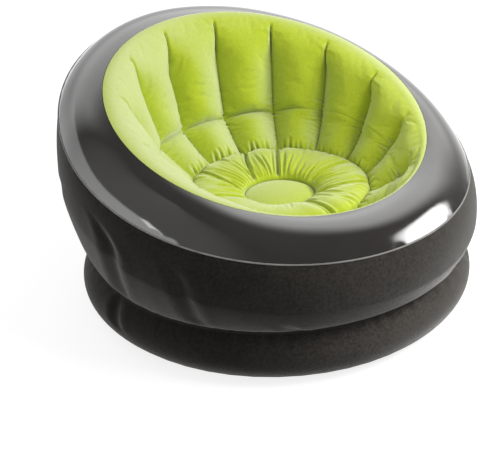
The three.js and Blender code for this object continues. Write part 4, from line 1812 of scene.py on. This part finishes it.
@dataclass
class Valve:
    """The two-way valve at the back, built flat and then set on the wall.

    Its own places are across, down and out of the wall, in metres.

    Attributes:
        names: The moulded parts that keep the frame's own shape.
        collar: The collar's rounded edge: its radius, its height and half its thickness.
        head: The radius of the plug's head, its foot and its top.
        grip: The grip's outline: how far out from the head's radius, and how far above its foot or top.
        grip_sheet: The thickness of the grip.
        ribs: The number of grip ribs round the head.
        rib: How far a rib stands out.
        rib_steps: Steps round one rib.
        cap: The cap's ring: its radius, its height and half its thickness.
        tab: Where the cap's finger tab starts and ends, and half its width.
        tab_sheet: The thickness of the tab.
        tab_sink: How far it lies below the middle of the cap's ring.
        ridges: Its ridges: their height, where they start as a share, and how close they follow.
        tab_steps: Steps across the tab and along it.
        strap: Where the plug's strap starts on the collar and ends on the head, as down and out.
        strap_reach: How far its middle handle lies beyond them.
        strap_width: Half the strap's width.
        strap_sheet: The strap's thickness.
        strap_steps: Steps across the strap and along it.
    """

    names: tuple[str, ...] = ("valve_socket", "valve_plug", "inflation_cap", "cap_hinge_pad", "check_flap")
    collar: tuple[float, float, float] = (0.0350, 0.0043, 0.0011)
    head: tuple[float, float, float] = (0.033, 0.0046, 0.0076)
    grip: tuple[tuple[tuple[float, float], ...], ...] = (
        ((0.0001, 0.0002), (0.0005, 0.0006), (0.0006, 0.0014)),
        ((0.0005, -0.0004), (0.0001, 0.0002), (-0.0008, 0.0005), (-0.0018, 0.0004), (-0.0028, 0.0001)),
    )
    grip_sheet: float = 0.0006
    ribs: int = 30
    rib: float = 0.0006
    rib_steps: int = 12
    cap: tuple[float, float, float] = (0.0115, 0.0105, 0.0008)
    tab: tuple[float, float, float] = (0.0110, 0.0200, 0.0048)
    tab_sheet: float = 0.0015
    tab_sink: float = 0.0004
    ridges: tuple[float, float, float] = (0.00035, 0.42, 33.0)
    tab_steps: tuple[int, int] = (13, 33)
    strap: tuple[tuple[float, float], tuple[float, float]] = ((0.0363, 0.0031), (0.0333, 0.0064))
    strap_reach: float = 0.018
    strap_width: float = 0.004
    strap_sheet: float = 0.0008
    strap_steps: tuple[int, int] = (7, 41)

    def build(self) -> None:
        """Dresses the moulded parts and adds the finer ones."""
        for name in self.names:
            dress_node(name, VALVE_VINYL)
        dress(self._ring("collar_lip", *self.collar), VALVE_VINYL)
        dress(self._ring("cap_ring", *self.cap), VALVE_VINYL, "cap")
        dress(self._grip(), VALVE_VINYL, "plug")
        dress(self._tab(), VALVE_VINYL, "cap")
        self._strap()

    def _set_on_wall(self, flat: np.ndarray) -> np.ndarray:
        """Moves points from the valve's own places to the chair.

        Args:
            flat: The points, across, down and out of the wall.

        Returns:
            The same points on the chair.
        """
        out = np.array(VALVE_AXIS)
        down = np.array([0.0, out[2], -out[1]])
        across = np.array([1.0, 0.0, 0.0])
        return np.array(VALVE_MIDDLE) + flat @ np.stack([across, down, out])

    def _ring(self, name: str, radius: float, height: float, thickness: float) -> bpy.types.Object:
        """Makes a round ring on the valve's axis.

        Args:
            name: The piece's name.
            radius: The ring's radius.
            height: How far it is from the wall.
            thickness: Half its thickness.

        Returns:
            The ring.
        """
        ring = primitive(
            bpy.ops.mesh.primitive_torus_add, name,
            major_radius=radius, minor_radius=thickness, major_segments=96, minor_segments=12,
        )
        place_vertices(ring, self._set_on_wall(places_of(ring) + np.array([0, 0, height])))
        smooth(ring)
        return ring

    def _grip(self) -> bpy.types.Object:
        """Makes the ribbed edge of the plug's head.

        Returns:
            The grip.
        """
        radius, *levels = self.head
        outline = np.array([
            (radius + out, level + up) for level, part in zip(levels, self.grip) for out, up in part
        ])
        angle = TURN * np.arange(self.rib_steps * self.ribs) / (self.rib_steps * self.ribs)
        outside = ease(outline[:, 0], radius - 0.001, radius + 0.0004)
        reach = outline[:, 0] + self.rib * outside * np.abs(np.cos(self.ribs * angle / 2))[:, None] ** 3
        height = np.broadcast_to(outline[:, 1], reach.shape)
        flat = np.stack([np.cos(angle)[:, None] * reach, np.sin(angle)[:, None] * reach, height], axis=-1)
        grip = wrapped_grid("plug_grip", self._set_on_wall(flat))
        thicken(grip, self.grip_sheet)
        smooth(grip, 40)
        return grip

    def _tab(self) -> bpy.types.Object:
        """Makes the finger tab of the cap, with three low ridges near its tip.

        Returns:
            The tab.
        """
        start, end, half_width = self.tab
        ridge, first, rate = self.ridges
        across, along = (np.linspace(low, 1, steps) for low, steps in zip((-1, 0), self.tab_steps))
        width = half_width * np.sqrt(1 - 0.85 * np.clip((along - 0.5) / 0.5, 0, 1) ** 2.5)
        flat = np.empty((*self.tab_steps, 3))
        flat[..., 0] = across[:, None] * width
        flat[..., 1] = start + (end - start) * along
        flat[..., 2] = self.cap[1] - self.tab_sink
        flat[..., 2] += ridge * np.maximum(0, np.sin((along - first) * rate)) * (along > first)
        tab = wrapped_grid("cap_tab", self._set_on_wall(flat), closed=False)
        thicken(tab, self.tab_sheet)
        apply_modifier(tab, "BEVEL", width=0.0003, segments=2, limit_method="ANGLE")
        smooth(tab, 50)
        return tab

    def _strap(self) -> None:
        """Makes the strap from the collar to the plug, curved between them."""
        sides, steps = self.strap_steps
        low, high = (np.array([0.0, *end]) for end in self.strap)
        bend = (low + high) / 2 + np.array([0.0, self.strap_reach, 0.0])
        line = bezier([low[None], bend[None], high[None]], np.linspace(0, 1, steps))[0]
        flat = np.stack([line + np.array([side, 0, 0]) for side in np.linspace(-1, 1, sides) * self.strap_width])
        strap = wrapped_grid("plug_strap", self._set_on_wall(flat), closed=False)
        apply_modifier(strap, "SOLIDIFY", thickness=self.strap_sheet, offset=0.0)
        apply_modifier(strap, "BEVEL", width=0.0002, segments=2, limit_method="ANGLE")
        smooth(strap, 50)
        dress(strap, VALVE_VINYL, None, ["plug_tether"])
        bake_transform(strap)


# Studio


def direction(azimuth: float, elevation: float) -> Vector:
    """Returns the unit vector from the chair to a place round it, in degrees."""
    a, e = math.radians(azimuth), math.radians(elevation)
    return Vector((math.sin(a) * math.cos(e), -math.cos(a) * math.cos(e), math.sin(e)))


@dataclass(frozen=True)
class Lamp:
    """A soft rectangular lamp aimed at the chair.

    Attributes:
        name: The lamp's name.
        azimuth: Where it stands, in degrees round the chair from the front towards the right.
        elevation: How high it stands, in degrees.
        distance: How far it is from the chair, in metres.
        width: Its width in metres.
        height: Its height in metres.
        watts: Its power.
    """

    name: str
    azimuth: float
    elevation: float
    distance: float
    width: float
    height: float
    watts: float

    def light(self, aim: Vector) -> None:
        """Adds the lamp, which gloss doesn't mirror.

        Args:
            aim: The point that it is aimed at.
        """
        data = bpy.data.lights.new(self.name, "AREA")
        data.shape = "RECTANGLE"
        data.size, data.size_y = self.width, self.height
        data.energy = self.watts
        lamp = bpy.data.objects.new(self.name, data)
        bpy.context.scene.collection.objects.link(lamp)
        away = direction(self.azimuth, self.elevation)
        lamp.visible_glossy = False
        lamp.location = aim + away * self.distance
        lamp.rotation_euler = away.to_track_quat("Z", "Y").to_euler()


@dataclass(frozen=True)
class Sky:
    """The world's light.

    What gloss mirrors is a dark ceiling over pale boards. One board stands on the left with a sharp
    top edge, and a higher one stands behind on the right. The rest is lit by a plain soft level.

    Attributes:
        ceiling: The mirrored level of the ceiling.
        left_board: That of the board on the left.
        back_board: That of the board behind.
        spot: That of a bright spot on the left.
        window: That of a small window high up.
        glow: How much brighter the left is in the mirror.
        plain: The soft level that lights the rest.
        plain_left: How much brighter that is on the left.
        plain_top: How much darker it is overhead.
        strength: The strength of it all.
    """

    ceiling: float = 0.22
    left_board: float = 0.85
    back_board: float = 2.6
    spot: float = 5.0
    window: float = 14.0
    glow: float = 0.55
    plain: float = 0.76
    plain_left: float = 0.3
    plain_top: float = 0.35
    strength: float = 0.8

    def light(self) -> None:
        """Adds the world and its light."""
        world = bpy.data.worlds.new("studio_world")
        bpy.context.scene.world = world
        bench = Bench(world)
        way = bench.node("ShaderNodeTexCoord", result="Generated")
        x, y, z = (bench.node("ShaderNodeSeparateXYZ", None, {0: way}, axis) for axis in "XYZ")
        window = bench.step(x * 0.78 - y * 0.34 + z * 0.53, 0.962, 0.985)
        level = (x * x + y * y + 0.0001) ** 0.5
        x, y = x / level, y / level
        behind = self._behind(bench, x, y, z)
        spot = bench.step(0 - x - abs(y) * 2.0 - abs(z - 0.43) * 4.0, 0.72, 0.86)
        mirrored = self.ceiling + self._left(bench, x, y, z) * self.left_board + behind * self.back_board
        mirrored = mirrored + spot * self.spot + window * self.window
        mirrored = mirrored + bench.step(0 - x, 0.45, 0.98) * self.glow
        plain = self.plain + behind + bench.step(0 - x, 0.1, 0.9) * self.plain_left
        plain = plain - bench.step(z, 0.35, 0.95) * self.plain_top
        strength = (plain + bench.ray("Glossy") * (mirrored - plain)) * self.strength
        strength = strength + bench.ray("Camera") * (1 - strength)
        inputs = {"Color": (1, 1, 1, 1), "Strength": strength}
        shader = bench.node("ShaderNodeBackground", None, inputs, "Background")
        bench.tree.links.new(shader.socket, bench.output.inputs["Surface"])

    def _left(self, bench: Bench, x: Wire, y: Wire, z: Wire) -> Wire:
        """Returns the board on the left, seen along a way whose x and y are levelled."""
        side = bench.step(y * 0.92 - x * 0.39, -0.02, 0.02) * (1 - bench.step(x, -0.35, 0.05))
        return side * (1 - bench.step(z, 0.42, 0.47)) * (1.3 - x * 2.2 - y * 1.2).at_most(3.2)

    def _behind(self, bench: Bench, x: Wire, y: Wire, z: Wire) -> Wire:
        """Returns the board behind, seen along a way whose x and y are levelled."""
        side = bench.step(x * 0.5 + y * 0.866, 0.42, 0.80) * (1 - bench.step(z, 0.72, 0.95))
        return side * (1 - bench.step(y, 0.65, 0.97) * 0.42) * (0.42 + bench.step(z, 0.22, 0.52) * 0.58)


@dataclass
class Studio:
    """The floor, the lamps and the camera.

    Attributes:
        azimuth: The camera's place round the chair, in degrees.
        elevation: The camera's height, in degrees.
        distance: The camera's distance from its target.
        target: The point that the camera looks at.
        roll: The camera's turn about its own axis, in degrees.
        lens: The camera's focal length in millimetres.
        sensor: The width of the camera's sensor in millimetres.
        aim: The point that the lamps are aimed at.
        lamps: The lamps.
        sky: The world's light.
        floor_levels: The two greys of the floor.
        floor_glow: How brightly the floor shows by itself.
    """

    azimuth: float = -36.64
    elevation: float = 27.76
    distance: float = 2.4
    target: tuple[float, float, float] = (-0.0862, -0.008, 0.1526)
    roll: float = -2.494
    lens: float = 62.88
    sensor: float = 36.0
    aim: tuple[float, float, float] = (0.0, 0.0, 0.35)
    lamps: tuple[Lamp, ...] = (
        Lamp("key_lamp", 55, 32, 2.6, 0.9, 0.7, 52),
        Lamp("side_lamp", 26, 40, 2.8, 1.2, 1.2, 44),
    )
    sky: Sky = Sky()
    floor_levels: tuple[float, float] = (0.38, 0.42)
    floor_glow: float = 0.78

    def camera(self) -> None:
        """Adds the camera at the photograph's angle."""
        data = bpy.data.cameras.new("photo_camera")
        data.sensor_width = self.sensor
        data.lens = self.lens
        camera = bpy.data.objects.new("photo_camera", data)
        bpy.context.scene.collection.objects.link(camera)
        back = direction(self.azimuth, self.elevation)
        right = Vector((0, 0, 1)).cross(back).normalized()
        turned = Matrix((right, back.cross(right), back)).transposed().to_4x4()
        turned = turned @ Matrix.Rotation(math.radians(self.roll), 4, "Z")
        camera.matrix_world = Matrix.Translation(Vector(self.target) + back * self.distance) @ turned
        bpy.context.scene.camera = camera

    def floor(self) -> None:
        """Adds a pale floor that keeps the chair's shadow."""
        floor = primitive(bpy.ops.mesh.primitive_plane_add, "studio_floor", size=60)
        bench = Bench.for_material("pale_floor")
        seen = (bench.ray("Camera") + bench.ray("Glossy") + bench.ray("Transmission")).at_most(1.0)
        cloud = bench.noise(bench.coordinates(), 3.0)
        low, high = (opaque((level, level, level)) for level in self.floor_levels)
        floor.data.materials.append(bench.shade({
            "Base Color": bench.blend(cloud, low, high),
            "Roughness": 0.9,
            "Specular IOR Level": 0.0,
            "Emission Color": bench.blend(seen, opaque((0, 0, 0)), opaque((1, 1, 1))),
            "Emission Strength": self.floor_glow,
        }))

    def set_up(self) -> None:
        """Sets up the whole studio."""
        bpy.context.scene.view_settings.view_transform = "Standard"
        self.camera()
        self.floor()
        self.sky.light()
        for lamp in self.lamps:
            lamp.light(Vector(self.aim))


def main() -> None:
    """Builds and dresses the chair and sets up the studio."""
    logging.basicConfig(level=logging.INFO, format="%(name)s: %(message)s")
    Studio().set_up()
    for maker in (LowerRing(), TubWall(), RimRing(), Bowl(), Seat(), InnerSheets(), Valve()):
        maker.build()


if __name__ == "__main__":
    main()
